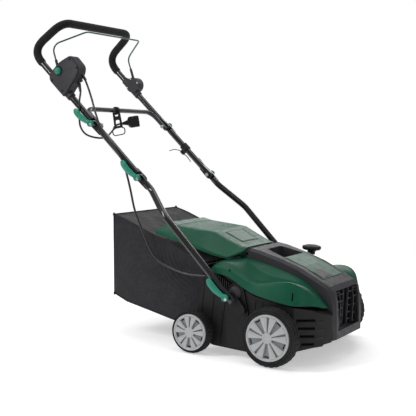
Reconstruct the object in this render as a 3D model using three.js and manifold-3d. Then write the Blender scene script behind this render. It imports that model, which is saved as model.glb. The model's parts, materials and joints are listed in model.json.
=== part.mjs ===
// Electric lawn dethatcher: a two-axle deck with a spring-tine rotor, a rear grass bag and a folding handle.
// Millimetres. +X is forward, +Y the operator's left, +Z up. The floor is Z = 0.
import * as THREE from 'three';
import { mergeVertices } from 'three/addons/utils/BufferGeometryUtils.js';
import Module from 'manifold-3d';

const wasm = await Module();
wasm.setup();

// ---------- driving dimensions ----------
const HALF_LENGTH = 565;         // half of the overall length, at the nose
const HALF_WIDTH = 300;          // half of the overall width, at the deck cam levers
const TOP = 1039;                // overall height, at the top of the foam grip
const GAP = 0.3;                 // clearance left between touching pieces
const FRONT = { x: 422, r: 90, inner: 256, outer: 295, disc: 68 };   // front wheels
const REAR = { x: 157.5, r: 66.5, inner: 260, outer: 295, disc: 55 };  // rear wheels
const WALL = 240;                // outer face of the deck's side walls
const TUBE = 11;                 // handle tube radius
const UPPER_Y = 222;             // upper and middle tubes, distance from the middle plane
const LOWER_Y = 273;             // lower tubes, below their flare
const UPPER_BOLT = [-282, 686];  // fold axes, as [x, z]
const MIDDLE_BOLT = [-90, 521];
const DECK_BOLT = [277, 186];
const ROTOR = { x: 300, z: 80, r: 64 };
const MOTOR = { x: 284, z: 201, r: 45 };
const AXLE_PIVOT = [385, 104];   // the cranked front axle turns here
const FLAP_HINGE = [222, 312];
const BAIL_PIVOT = [-432, 836];
const FOAM = 14;                 // foam grip radius
const CROSSBAR = 8;              // crossbar tube radius

// ---------- materials ----------
function paint(color, roughness, metalness = 0) {
  return new THREE.MeshStandardMaterial({ color, roughness, metalness });
}

const BLACK_PLASTIC = paint(0x1c1c1f, 0.55);
const GREY_PLASTIC = paint(0x3c3b40, 0.5);
const GREEN_PLASTIC = paint(0x1d6b4f, 0.35);
const GREEN_LEVER = paint(0x2f8a6a, 0.45);
const BLACK_STEEL = paint(0x121214, 0.25, 0.6);
const BARE_STEEL = paint(0xa8abb0, 0.35, 1);
const SILVER_PLASTIC = paint(0xc4c7cb, 0.35, 0.2);
const TYRE_RUBBER = paint(0x1a1a1b, 0.8);
const CORD_RUBBER = paint(0x26262a, 0.6);
const FOAM_RUBBER = paint(0x18181a, 0.95);
const BAG_CLOTH = paint(0x222226, 0.9);

// ---------- solid helpers ----------
const vec = (p) => new THREE.Vector3(...p);

function toSolid(geometry) {
  const bare = geometry.index ? geometry.toNonIndexed() : geometry.clone();
  bare.deleteAttribute('normal');
  bare.deleteAttribute('uv');
  const welded = mergeVertices(bare, 1e-4);
  const vertProperties = new Float32Array(welded.attributes.position.array);
  const triVerts = new Uint32Array(welded.index.array);
  return new wasm.Manifold(new wasm.Mesh({ numProp: 3, vertProperties, triVerts }));
}

function toGeometry(solid) {
  const mesh = solid.getMesh();
  const geometry = new THREE.BufferGeometry();
  geometry.setAttribute('position', new THREE.BufferAttribute(new Float32Array(mesh.vertProperties), 3));
  geometry.setIndex(new THREE.BufferAttribute(new Uint32Array(mesh.triVerts), 1));
  const faceted = geometry.toNonIndexed();
  faceted.computeVertexNormals();
  return faceted;
}

const join = (...solids) => solids.reduce((total, next) => total.add(next));
const cut = (solid, ...tools) => tools.reduce((rest, tool) => rest.subtract(tool), solid);

function block(x0, x1, y0, y1, z0, z1) {
  const box = new THREE.BoxGeometry(x1 - x0, y1 - y0, z1 - z0);
  return toSolid(box.translate((x0 + x1) / 2, (y0 + y1) / 2, (z0 + z1) / 2));
}

// A straight round bar from a to b.
function bar(a, b, radius, sides = 16) {
  const [from, to] = [vec(a), vec(b)];
  const along = to.clone().sub(from);
  const rod = new THREE.CylinderGeometry(radius, radius, along.length(), sides);
  const turn = new THREE.Quaternion().setFromUnitVectors(new THREE.Vector3(0, 1, 0), along.normalize());
  rod.applyQuaternion(turn);
  return toSolid(rod.translate(...from.add(to).multiplyScalar(0.5)));
}

// A bar along Y at [x, z], between two distances.
const crossPin = ([x, z], y0, y1, radius, sides = 16) => bar([x, y0, z], [x, y1, z], radius, sides);

// An outline of [x, z] points, extruded from y0 to y1.
function sidePlate(outline, y0, y1) {
  const shape = new THREE.Shape(outline.map(([x, z]) => new THREE.Vector2(x, z)));
  const plate = new THREE.ExtrudeGeometry(shape, { depth: y1 - y0, bevelEnabled: false });
  return toSolid(plate.rotateX(Math.PI / 2).translate(0, y1, 0));
}

// The same outline extruded to `half` either side of the middle plane, with chamfered ends:
// the outline draws in by `inset` over the last `run` millimetres.
function chamferedPlate(outline, half, inset, run) {
  const shape = new THREE.Shape(outline.map(([x, z]) => new THREE.Vector2(x, z)));
  const plate = new THREE.ExtrudeGeometry(shape, {
    depth: 2 * (half - run),
    bevelEnabled: true,
    bevelThickness: run,
    bevelSize: inset,
    bevelOffset: -inset,
    bevelSegments: 1,
  });
  return toSolid(plate.rotateX(Math.PI / 2).translate(0, half - run, 0));
}

// An outline of [x, y] points, extruded from z0 to z1.
function planPlate(outline, z0, z1) {
  const shape = new THREE.Shape(outline.map(([x, y]) => new THREE.Vector2(x, y)));
  const plate = new THREE.ExtrudeGeometry(shape, { depth: z1 - z0, bevelEnabled: false });
  return toSolid(plate.translate(0, 0, z0));
}

// An outline of [y, z] points, extruded from x0 to x1.
function frontPlate(outline, x0, x1) {
  const shape = new THREE.Shape(outline.map(([y, z]) => new THREE.Vector2(y, z)));
  const plate = new THREE.ExtrudeGeometry(shape, { depth: x1 - x0, bevelEnabled: false });
  return toSolid(plate.rotateX(Math.PI / 2).rotateZ(Math.PI / 2).translate(x0, 0, 0));
}

// A profile of [radius, y] points turned about the Y axis through [x, z].
function turned(profile, [x, z], segments = 32) {
  const lathe = new THREE.LatheGeometry(profile.map(([r, y]) => new THREE.Vector2(r, y)), segments);
  const solid = toSolid(lathe.translate(x, 0, z));
  return solid.volume() < 0 ? toSolid(flipped(lathe)) : solid;
}

function flipped(geometry) {
  const copy = geometry.clone();
  const index = Array.from(copy.index.array);
  for (let i = 0; i < index.length; i += 3) [index[i + 1], index[i + 2]] = [index[i + 2], index[i + 1]];
  copy.setIndex(index);
  return copy;
}

// Rings of points, one closed ring per station, skinned into one solid with flat end caps.
function loft(rings) {
  const size = rings[0].length;
  const positions = rings.flat(2);
  const faces = [];
  for (let i = 0; i + 1 < rings.length; i += 1) {
    for (let j = 0; j < size; j += 1) {
      const k = (j + 1) % size;
      const [a, b, c, d] = [i * size + j, i * size + k, (i + 1) * size + k, (i + 1) * size + j];
      faces.push(a, b, c, a, c, d);
    }
  }
  // Cap triangles, wound the same way round as their ring.
  const capOf = (ring) => {
    const flat = ring.map(([, y, z]) => new THREE.Vector2(y, z));
    const turn = Math.sign(THREE.ShapeUtils.area(flat));
    const triangles = THREE.ShapeUtils.triangulateShape(flat, []);
    const turnOf = (triangle) => Math.sign(THREE.ShapeUtils.area(triangle.map((i) => flat[i])));
    return triangles.map(([a, b, c]) => (turnOf([a, b, c]) === turn ? [a, b, c] : [a, c, b]));
  };
  const last = (rings.length - 1) * size;
  for (const [a, b, c] of capOf(rings[0])) faces.push(a, c, b);
  for (const [a, b, c] of capOf(rings.at(-1))) faces.push(last + a, last + b, last + c);
  const skin = new THREE.BufferGeometry();
  skin.setAttribute('position', new THREE.Float32BufferAttribute(positions, 3));
  skin.setIndex(faces);
  const solid = toSolid(skin);
  return solid.volume() < 0 ? toSolid(flipped(skin)) : solid;
}

const mirrored = (solid) => solid.mirror([0, 1, 0]);

// A route through corners, each rounded over the given distance, with stations only where it bends.
class Route extends THREE.Curve {
  constructor(corners, fillet, bendSteps = 4) {
    super();
    const points = corners.map(vec);
    this.stations = [points[0]];
    for (let i = 1; i + 1 < points.length; i += 1) {
      const reach = Array.isArray(fillet) ? fillet[i - 1] : fillet;
      const start = points[i].clone().add(points[i - 1].clone().sub(points[i]).setLength(reach));
      const end = points[i].clone().add(points[i + 1].clone().sub(points[i]).setLength(reach));
      const bend = new THREE.QuadraticBezierCurve3(start, points[i], end);
      this.stations.push(...bend.getPoints(bendSteps));
    }
    this.stations.push(points.at(-1));
  }

  get steps() {
    return this.stations.length - 1;
  }

  getPoint(t) {
    return this.stations[Math.round(t * this.steps)].clone();
  }

  getPointAt(u) {
    return this.getPoint(u);
  }

  getTangentAt(u) {
    const i = Math.round(u * this.steps);
    const before = this.stations[Math.max(i - 1, 0)];
    const after = this.stations[Math.min(i + 1, this.steps)];
    return after.clone().sub(before).normalize();
  }
}

// A round tube along a route; bore 0 leaves it solid.
function tube(route, radius, bore = 0, halfSides = 6) {
  const ring = new THREE.Shape().absarc(0, 0, radius, 0, 2 * Math.PI);
  if (bore > 0) ring.holes.push(new THREE.Path().absarc(0, 0, bore, 0, 2 * Math.PI, true));
  const settings = { steps: route.steps, extrudePath: route, bevelEnabled: false, curveSegments: halfSides };
  return toSolid(new THREE.ExtrudeGeometry(ring, settings));
}

// ---------- the assembly ----------
const machine = new THREE.Group();

function place(name, solid, material) {
  const mesh = new THREE.Mesh(toGeometry(solid), material);
  mesh.name = name;
  machine.add(mesh);
}

// ---------- deck ----------
const FRONT_WALL = 534;          // front face of the deck behind the nose arch
const FLOOR_PLATE = 150;         // underside of the plate between the rotor and the motor

const deckSide = [
  [140, 48], [211, 25], [327, 22], [484, 46], [556, 67], [556, 150], [520, 172], [487, 178], [448, 182],
  [347, 197], [312, 211], [255, 244], [172, 247], [150, 140],
];
const deckPlan = [
  [130, -WALL], [478, -WALL], [532, -190], [557, -123], [557, 123], [532, 190], [478, WALL], [130, WALL],
];
const chamberPlan = [
  [100, -WALL + 4], [474, -WALL + 4], [526, -186], [FRONT_WALL - 4, -120], [FRONT_WALL - 4, 120], [526, 186],
  [474, WALL - 4], [100, WALL - 4],
];

function beltOutline(extra) {
  const small = 17 + extra;
  const large = 33 + extra;
  const shape = [];
  for (let i = 0; i <= 10; i += 1) {
    const angle = Math.PI * (i / 10) + 0.13;
    shape.push([MOTOR.x + small * Math.cos(angle), MOTOR.z + small * Math.sin(angle)]);
  }
  for (let i = 0; i <= 10; i += 1) {
    const angle = Math.PI * (1 + i / 10) + 0.13;
    shape.push([ROTOR.x + large * Math.cos(angle), ROTOR.z + large * Math.sin(angle)]);
  }
  return shape;
}

function deckHousing() {
  const outer = sidePlate(deckSide, -WALL, WALL).intersect(planPlate(deckPlan, 0, 300));
  const chamber = planPlate(chamberPlan, 0, FLOOR_PLATE);
  const engineBay = planPlate(chamberPlan, FLOOR_PLATE + 4, 300);
  const noseSeat = join(block(FRONT_WALL, 600, -119, 119, 0, 300), block(500, 600, -119, 119, 157, 300));
  const cheek = block(220, 372, 212, 216, 40, FLOOR_PLATE + 2);
  const shell = join(cut(outer, chamber, engineBay, noseSeat), cheek, mirrored(cheek));
  const frontPivot = crossPin(AXLE_PIVOT, -260, 260, 6 + GAP);
  const rearAxleHole = crossPin([REAR.x, REAR.r], -260, 260, 6 + GAP);
  const bearingSeats = crossPin([ROTOR.x, ROTOR.z], -218, 218, 20, 24);
  const beltWindow = sidePlate(beltOutline(6), -WALL - 1, -WALL + 6);
  const beltSlot = block(255, 345, -235, -218, FLOOR_PLATE - 1, FLOOR_PLATE + 5);
  const leverSlot = block(330, 400, 222, 232, FLOOR_PLATE - 1, FLOOR_PLATE + 5);
  const intake = [-1, 1].map((side) => {
    const [near, far] = side < 0 ? [-WALL - 2, -WALL + 1.5] : [WALL - 1.5, WALL + 2];
    return [0, 1, 2].map((i) => block(236 + 34 * i, 239 + 34 * i, near, far, 60, 135));
  }).flat();
  return cut(shell, frontPivot, rearAxleHole, bearingSeats, beltWindow, beltSlot, leverSlot, ...intake);
}

function beltCover() {
  const plate = sidePlate(beltOutline(12), -WALL - 6, -WALL - GAP);
  const lip = sidePlate(beltOutline(5.5), -WALL - 2, -WALL + 3);
  const lipInside = sidePlate(beltOutline(3), -WALL - 1, -WALL + 5);
  return join(plate, cut(lip, lipInside));
}

const shaftDome = () => turned(
  [[0, -WALL - 6 - GAP], [21, -WALL - 6 - GAP], [20, -WALL - 10], [14, -WALL - 16], [0, -WALL - 18]],
  [MOTOR.x, MOTOR.z],
  24,
);

// ---------- top cover ----------
// Half sections of the green cover at stations along X: [y, z] from the arch out to the lower edge.
const coverSections = [
  [192, [118, 273], [160, 276], [214, 274], [238, 266], [243, 254]],
  [204, [118, 282.5], [160, 286], [214, 284], [240, 274], [245, 252]],
  [226, [118, 286.5], [160, 289], [214, 286], [242, 274], [246, 251]],
  [262, [118, 291], [146, 284], [208, 277], [242, 265], [248, 247]],
  [312, [118, 281], [146, 262], [202, 243], [240, 238], [250, 217]],
  [350, [118, 273], [146, 250], [200, 234], [238, 233], [251, 203]],
  [400, [118, 261], [146, 243], [198, 240], [236, 246], [251, 194]],
  [446, [118, 248], [146, 238], [194, 247], [232, 256], [251, 188]],
  [484, [118, 224], [146, 226], [188, 240], [224, 246], [244, 184]],
  [508, [118, 203], [140, 208], [172, 220], [202, 220], [222, 180]],
  [526, [118, 178], [130, 184], [146, 190], [164, 190], [178, 174]],
  [540, [118, 164], [124, 168], [132, 171], [142, 171], [148, 165.5]],
];

function coverWing() {
  const rings = coverSections.map(([x, ...outer]) => {
    const inner = outer.map(([y, z], i) => (i < 4 ? [y - (i > 2 ? 2 : 0), z - 3.2] : [y - 3, z])).reverse();
    return [...outer, ...inner].map(([y, z]) => [x, y, z]);
  });
  return loft(rings);
}

function topCover() {
  const wing = coverWing();
  const bandLine = [[196, 266], [206, 283], [242, 287], [242, 283.5], [209, 279.5], [199, 264]];
  const rearBand = sidePlate(bandLine, -121, 121);
  const lugLine = [[212, 283], [216, 309], [218.5, 316.5], [225.5, 316.5], [228, 309], [232, 285]];
  const lugs = [-86, 86].map((y) => sidePlate(lugLine, y - 4, y + 4));
  const hingeHole = crossPin(FLAP_HINGE, -200, 200, 3 + GAP, 12);
  const depthSlot = block(290, 392, 219, 235, 190, 300);
  const deckTop = block(180, 500, -WALL - GAP, WALL + GAP, 0, 200);
  return cut(join(wing, mirrored(wing), rearBand, ...lugs), hingeHole, depthSlot, deckTop);
}

// ---------- nose arch ----------
const ARCH = 117.7;              // half width of the arch
const archTop = [
  [246, 297], [258, 321], [290, 317], [361, 300], [430, 279], [500, 247], [532, 231], [549, 214],
];
const archFront = [[557, 182], [562, 132], [HALF_LENGTH, 72], [540, 66]];
const archUnder = [[538, 156], [500, 194], [437, 236], [305, 268], [250, 280]];
const archBody = [
  ...archTop, ...archFront.slice(0, 3), [HALF_LENGTH, 40], [480, 40], [480, 150], [400, 200], [246, 240],
];
const archHollow = [
  [230, 270], [254, 282], [263, 314], [290, 311], [361, 294], [428, 273], [497, 241], [527, 226], [543, 211],
  [551, 181], [556, 132], [558, 40], [520, 40], [520, 150], [490, 180], [430, 224], [300, 258],
];
const ARCH_EDGE = { inset: 7, run: 14 };   // the chamfer along the arch's shoulders
const handleHole = (grow) => [
  [290 - grow, -52 - grow], [361 + grow, -74 - grow], [361 + grow, 74 + grow], [290 - grow, 52 + grow],
];
const panelPlan = (grow) => [
  [365 - grow, -73 - grow], [500 + grow, -80 - grow], [500 + grow, 80 + grow], [365 - grow, 73 + grow],
];

function archBlank() {
  const body = chamferedPlate(archBody, ARCH, ARCH_EDGE.inset, ARCH_EDGE.run);
  return body.intersect(sidePlate([...archTop, ...archFront, ...archUnder], -ARCH, ARCH));
}

function noseArch() {
  const blank = archBlank();
  const shell = cut(blank, chamferedPlate(archHollow, ARCH - 4, ARCH_EDGE.inset, ARCH_EDGE.run));
  const cup = planPlate(handleHole(3), 267, 340).intersect(blank);
  const grilleHole = block(530, 600, -88, 88, 97, 217);
  const panelSeat = planPlate(panelPlan(0.5), 200, 340).intersect(sidePlate(panelLine(-2.6, 40), -90, 90));
  return cut(join(shell, cup), planPlate(handleHole(0), 270, 340), grilleHole, panelSeat);
}

// The band between two offsets from the arch's top line, where the centre panel lies.
function panelLine(low, high) {
  const top = [[361, 300], [430, 279], [502, 246]];
  return [...top.map(([x, z]) => [x, z + low]), ...top.map(([x, z]) => [x, z + high]).reverse()];
}

function centrePanel() {
  return planPlate(panelPlan(0), 200, 340).intersect(sidePlate(panelLine(-2.2, 1.6), -90, 90));
}

function frontGrille() {
  const back = block(537, 540, -87.6, 87.6, 97.4, 216.6);
  const uprights = [-84, -55, 55, 84].map((y) => block(538, 553, y - 3, y + 3, 97.4, 214));
  const rungs = [0, 1, 2, 3, 4].flatMap((i) => [-70, 70].map((y) => {
    const z = 102 + 27 * i;
    return block(538, 551, y - 16, y + 16, z - 2.5, z + 2.5);
  }));
  const nose = sidePlate([[530, 60], [557, 60], [557, 132], [552, 181], [545, 217], [530, 217]], -90, 90);
  return join(back, ...uprights, ...rungs).intersect(nose);
}

// ---------- drive ----------
const motorBody = () => join(
  turned([[0, 88], [30, 88], [MOTOR.r, 80], [MOTOR.r, -80], [30, -88], [0, -88]], [MOTOR.x, MOTOR.z], 24),
  block(MOTOR.x - 34, MOTOR.x + 34, -60, 60, FLOOR_PLATE + 4 + GAP, 178),
);

const motorShaft = () => join(
  crossPin([MOTOR.x, MOTOR.z], -234, -88.5, 6),
  crossPin([MOTOR.x, MOTOR.z], -232, -220, 13.5, 20),
);

const rotorPulley = () => cut(
  crossPin([ROTOR.x, ROTOR.z], -232, -220, 29.5, 28),
  crossPin([ROTOR.x, ROTOR.z], -240, -210, 9 + GAP),
);

const driveBelt = () => cut(sidePlate(beltOutline(0), -231, -221), sidePlate(beltOutline(-3), -240, -210));

const tineShaft = () => crossPin([ROTOR.x, ROTOR.z], -234, 226, 9);

function rotorBearing(side) {
  const ring = crossPin([ROTOR.x, ROTOR.z], side * 211, side * 217.5, 20 - GAP, 24);
  return cut(ring, crossPin([ROTOR.x, ROTOR.z], side * 200, side * 230, 9 + GAP));
}

function tineCarrier() {
  const sleeve = crossPin([ROTOR.x, ROTOR.z], -206, 206, 14);
  const bore = crossPin([ROTOR.x, ROTOR.z], -210, 210, 9 + GAP);
  const tines = [];
  const count = 14;
  for (let i = 0; i < count; i += 1) {
    const y = -195 + (390 * i) / (count - 1);
    const angle = i * 2.2;
    for (const turn of [0, Math.PI]) {
      const spot = (r, lag) => {
        const way = angle + turn - lag;
        return [ROTOR.x + r * Math.cos(way), y, ROTOR.z + r * Math.sin(way)];
      };
      tines.push(tube(new Route([spot(11.5, 0), spot(40, 0), spot(ROTOR.r - 2, 0.25)], 4, 1), 2, 0, 2));
    }
  }
  return cut(join(sleeve, ...tines), bore);
}

// ---------- axles and wheels ----------
function frontAxle() {
  const rod = crossPin(AXLE_PIVOT, -250, 250, 6);
  const sides = [-1, 1].flatMap((side) => [
    bar([AXLE_PIVOT[0], side * 246.5, AXLE_PIVOT[1]], [FRONT.x, side * 246.5, FRONT.r], 5.5, 12),
    crossPin([FRONT.x, FRONT.r], side * 243.5, side * 286, 6),
  ]);
  return join(rod, ...sides);
}

const rearAxle = () => crossPin([REAR.x, REAR.r], -286, 286, 6);

function tyre(wheel, side) {
  const { r, inner, outer, disc } = wheel;
  const groove = (r + disc + 1) / 2;
  const profile = [
    [disc + 1, inner], [groove, inner], [r - 3, inner + 3], [r, inner + 9],
    [r, outer - 9], [r - 3, outer - 3], [groove + 1.2, outer], [groove, outer - 1.5],
    [groove - 1.2, outer], [disc + 1, outer - 2],
  ];
  return turned([...profile, profile[0]].map(([radius, y]) => [radius, side * y]), [wheel.x, r], 24);
}

function wheelDisc(wheel, side) {
  const { x, r, inner, outer, disc } = wheel;
  const profile = [
    [0, inner + 4], [disc - 6, inner + 4], [disc + 1 - GAP, inner + 1],
    [disc + 1 - GAP, outer + 1], [disc - 5, outer + 3], [disc - 8, outer - 2],
    [16, outer + 1], [14, outer + 5], [0, outer + 5],
  ];
  const dish = turned(profile.map(([radius, y]) => [radius, side * y]), [x, r], 24);
  const spokes = [];
  for (let i = 0; i < 10; i += 1) {
    const angle = (2 * Math.PI * i) / 10 + (i % 2 ? -0.09 : 0.09);
    const [reachX, reachZ] = [Math.cos(angle), Math.sin(angle)];
    const spot = (radius) => [x + radius * reachX, side * (outer - 0.5), r + radius * reachZ];
    spokes.push(bar(spot(12), spot(disc - 5), 3, 6));
  }
  return cut(join(dish, ...spokes), crossPin([x, r], side * (inner - 5), side * 287, 6 + GAP));
}

// ---------- depth lever ----------
const KNOB = [327, 300];

function depthLever() {
  const outline = [[378, 104], [321, 262], [321, 282], [333, 282], [333, 268], [392, 106], [385, 97]];
  const plate = sidePlate(outline, 224, 229);
  const boss = crossPin(AXLE_PIVOT, 220, 233, 13);
  return cut(join(plate, boss), crossPin(AXLE_PIVOT, 210, 245, 6 + GAP));
}

function depthKnob() {
  const profile = [[0, -20], [13, -20], [15, -8], [27, -5], [32, 1], [31, 8], [20, 12], [0, 13]];
  const lathe = new THREE.LatheGeometry(profile.map(([r, z]) => new THREE.Vector2(r, z)), 24);
  const knob = toSolid(lathe.rotateX(Math.PI / 2).translate(KNOB[0], 226.5, KNOB[1] - 5));
  return cut(knob, block(320.7, 333.3, 223.7, 229.3, 260, 282 + GAP));
}

// ---------- rear flap ----------
// Half sections of the flap: the plateau edge, the chamfer's foot and the lip below it.
const flapSections = [
  [-44, [116, 376], [198, 355], [199, 345]],
  [-18, [118, 370], [199, 350], [200, 340]],
  [124, [118, 362], [200, 320], [201, 310]],
  [176, [112, 340], [200, 307], [201, 298]],
  [219, [104, 324], [186, 297], [187, 291]],
  [240, [98, 321], [118, 312], [119, 306]],
];

function rearFlap() {
  const rings = flapSections.map(([x, crest, foot, lip]) => {
    const under = [[lip[0] - 3, lip[1]], [foot[0] - 3, foot[1] - 2.5], [crest[0] - 1, crest[1] - 3.2]];
    const left = [crest, foot, lip, ...under];
    const right = left.toReversed().map(([y, z]) => [-y, z]);
    return [...left, ...right].map(([y, z]) => [x, y, z]);
  });
  const skin = loft(rings);
  const lugLine = [[216, 321.5], [216, 309], [219, 306], [225, 306], [228, 309], [228, 321.2]];
  const lugs = [-96, 96].map((y) => sidePlate(lugLine, y - 4, y + 4));
  return cut(join(skin, ...lugs), crossPin(FLAP_HINGE, -110, 110, 3 + GAP, 12));
}

const flapHingeRod = () => crossPin(FLAP_HINGE, -104, 104, 3, 12);

// ---------- grass bag ----------
const bagOutline = [
  [-215, 385], [-207, 394], [-164, 380], [-60, 343], [146, 272], [146, 64], [40, 72], [-53, 91], [-145, 108],
  [-190, 124], [-198, 136],
];
const bagInside = [
  [-211, 382], [-206, 389.5], [-163, 376], [-60, 339.5], [150, 268], [150, 67.5], [41, 75.5], [-52, 94.5],
  [-144, 111.5], [-187, 127], [-194, 138],
];

const bagFabric = () => cut(sidePlate(bagOutline, -198, 198), sidePlate(bagInside, -194.5, 194.5));

function bagFrame() {
  const [low, high, side] = [73, 263, 189];
  return join(
    bar([141, -side, low], [141, side, low], 4, 10),
    bar([141, -side, high], [141, side, high], 4, 10),
    bar([141, -side, low - 4], [141, -side, high + 4], 4, 10),
    bar([141, side, low - 4], [141, side, high + 4], 4, 10),
  );
}

// ---------- handle ----------
const middleRun = new THREE.Vector2(...UPPER_BOLT).sub(new THREE.Vector2(...MIDDLE_BOLT)).normalize();
const UP = [middleRun.x, middleRun.y];   // along the tubes, as [x, z]
const ACROSS = [UP[1], -UP[0]];   // square to the tubes, up and forward
const LAP = 22;                   // length of the halved tube ends beyond the bolt

// A point in the handle's plane: a along the tubes from an [x, z] origin, n across them.
const onHandle = ([x, z], a, n = 0) => [x + a * UP[0] + n * ACROSS[0], z + a * UP[1] + n * ACROSS[1]];

const at = ([x, z], y) => [x, y, z];

const GRIP_BEND = onHandle(UPPER_BOLT, 370);   // where the upper handle turns forward
const GRIP_ROUNDS = [60, 46, 46, 60];

// A plate given as handle-plane points, extruded in Y.
function handlePlate(origin, outline, y0, y1) {
  return sidePlate(outline.map(([a, n]) => onHandle(origin, a, n)).reverse(), y0, y1);
}

// Halves a tube end: removes the outer or inner half from one side of a bolt.
function lapCut(origin, side, keepOuter, towardsTop) {
  const [a0, a1] = towardsTop ? [-LAP, 60] : [-60, LAP];
  const [y0, y1] = keepOuter ? [UPPER_Y - 20, UPPER_Y + GAP / 2] : [UPPER_Y - GAP / 2, UPPER_Y + 20];
  const [low, high] = side > 0 ? [y0, y1] : [-y1, -y0];
  return handlePlate(origin, [[a0, -14], [a1, -14], [a1, 14], [a0, 14]], low, high);
}

const boltHole = (origin, y0, y1) => crossPin(origin, y0, y1, 4 + GAP, 12);

function upperHandle() {
  const corners = (side) => [
    at(onHandle(UPPER_BOLT, -TUBE), side * UPPER_Y),
    at(GRIP_BEND, side * UPPER_Y),
    [-450, side * 202, TOP - FOAM],
  ];
  const route = new Route([...corners(-1), ...corners(1).reverse()], GRIP_ROUNDS, 5);
  const body = tube(route, TUBE, TUBE - 1.6);
  const laps = [-1, 1].map((side) => lapCut(UPPER_BOLT, side, true, false));
  return cut(body, ...laps, boltHole(UPPER_BOLT, -260, 260));
}

function foamGrip() {
  const corners = (side) => [
    at(onHandle(GRIP_BEND, -67), side * UPPER_Y),
    at(GRIP_BEND, side * UPPER_Y),
    [-450, side * 202, TOP - FOAM],
  ];
  return tube(new Route([...corners(-1), ...corners(1).reverse()], GRIP_ROUNDS, 5), FOAM, TUBE + GAP);
}

function middleTube(side) {
  const [top, foot] = [onHandle(UPPER_BOLT, TUBE), onHandle(MIDDLE_BOLT, -TUBE)];
  const body = tube(new Route([at(top, side * UPPER_Y), at(foot, side * UPPER_Y)], 0), TUBE, TUBE - 1.6);
  const laps = [lapCut(UPPER_BOLT, side, false, true), lapCut(MIDDLE_BOLT, side, true, false)];
  return cut(body, ...laps, boltHole(UPPER_BOLT, -260, 260), boltHole(MIDDLE_BOLT, -260, 260));
}

function lowerTube(side) {
  const corners = [
    at(onHandle(MIDDLE_BOLT, TUBE), side * UPPER_Y),
    [-50, side * UPPER_Y, 486.6],
    [36, side * LOWER_Y, 412.5],
    [285, side * LOWER_Y, 178.5],
  ];
  const body = tube(new Route(corners, [14, 18], 3), TUBE, TUBE - 1.6);
  const holes = [boltHole(MIDDLE_BOLT, -260, 260), boltHole(DECK_BOLT, -300, 300)];
  return cut(body, lapCut(MIDDLE_BOLT, side, false, true), ...holes);
}

function crossbar() {
  const leg = UPPER_Y - TUBE - GAP - CROSSBAR;
  const corners = (side) => [
    at(onHandle(UPPER_BOLT, -14), side * leg),
    at(onHandle(UPPER_BOLT, 78), side * leg),
  ];
  const body = tube(new Route([...corners(-1), ...corners(1).reverse()], 42), CROSSBAR, 0, 6);
  return cut(body, boltHole(UPPER_BOLT, -240, 240));
}

// Bolts run from a nut on the inner side to the cam lever's hub.
function foldBolt(origin, side, inner, outer) {
  const shank = crossPin(origin, side * inner, side * outer, 4, 12);
  const nut = crossPin(origin, side * (inner - 7), side * (inner + 0.5), 7, 6);
  return join(shank, nut);
}

const LEVER_HUB = 7.4;           // cam lever hub radius
const leverHubY = (tubeY) => Math.min(tubeY + TUBE + 4.5 + LEVER_HUB, HALF_WIDTH - LEVER_HUB - 0.5);

// A cam lever: a barrel hub square to the bolt, and an arm lying along the tube.
function camLever(origin, side, tubeY, tilt) {
  const hubY = side * leverHubY(tubeY);
  const hub = bar(at(onHandle(origin, 0, -9), hubY), at(onHandle(origin, 0, 9), hubY), LEVER_HUB, 16);
  const [dropMid, dropTip] = [34 * tilt, 78 * tilt];
  const arm = [
    [0, -7], [34, -9 - dropMid], [76, -8 - dropTip], [80, -5 - dropTip],
    [80, 4 - dropTip], [76, 7 - dropTip], [34, 9 - dropMid], [0, 7],
  ];
  const skin = handlePlate(origin, arm, hubY - 4, hubY + 4);
  const ribLine = [[14, -3], [62, -3 - 60 * tilt], [62, 3 - 60 * tilt], [14, 3]];
  const ribY = hubY + 4.5 * side;
  return join(hub, skin, handlePlate(origin, ribLine, ribY - 1.5, ribY + 1.5));
}

// Side plates that hold the lower tubes to the deck.
function deckBracket(side) {
  const inner = LOWER_Y - TUBE - GAP - 3;
  const [y0, y1] = side > 0 ? [inner, inner + 3] : [-inner - 3, -inner];
  const outline = [
    [258, 186], [266, 202], [284, 204], [324, 160], [326, 146], [312, 138], [298, 142], [262, 176],
  ];
  const plate = sidePlate(outline, y0, y1);
  const [low, high] = side > 0 ? [WALL + GAP, inner + 1] : [-inner - 1, -WALL - 6 - GAP];
  const foot = block(300, 322, low, high, 142, 158);
  const stud = crossPin(DECK_BOLT, side * inner, side * (LOWER_Y + TUBE + 0.6), 4, 12);
  return join(plate, foot, stud);
}

// ---------- switch box and bail ----------
const BOX_ORIGIN = onHandle(UPPER_BOLT, (-405 - UPPER_BOLT[0]) / UP[0]);
const BOX = { inner: -203, outer: -243 };
const LOCK = onHandle(BOX_ORIGIN, 62, 36);

// An outline with each corner rounded over the given reach.
function roundedOutline(points, reach) {
  const corners = points.map(([a, n]) => new THREE.Vector2(a, n));
  return corners.flatMap((corner, i) => {
    const towards = (other) => {
      const share = Math.min(reach / corner.distanceTo(other), 0.45);
      return corner.clone().lerp(other, share);
    };
    const start = towards(corners.at(i - 1));
    const end = towards(corners[(i + 1) % corners.length]);
    return new THREE.QuadraticBezierCurve(start, corner, end).getPoints(3).map((p) => [p.x, p.y]);
  });
}

const boxCorners = [[-16, -14], [72, -14], [86, 2], [82, 58], [62, 107], [8, 105], [-6, 84]];
const armSlot = [[43, 10], [100, 10], [100, 60], [43, 25]];

function bailSlots(side, low, high) {
  const [y0, y1] = side > 0 ? [219.5, 228.5] : [-228.5, -219.5];
  const slot = handlePlate(BOX_ORIGIN, armSlot, y0, y1);
  const pinHole = crossPin(BAIL_PIVOT, low, high, 3 + GAP, 12);
  const tubeLine = (a) => at(onHandle(BOX_ORIGIN, a), side * UPPER_Y);
  const bore = bar(tubeLine(-60), tubeLine(130), TUBE + GAP, 14);
  return [slot, pinHole, bore];
}

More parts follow.
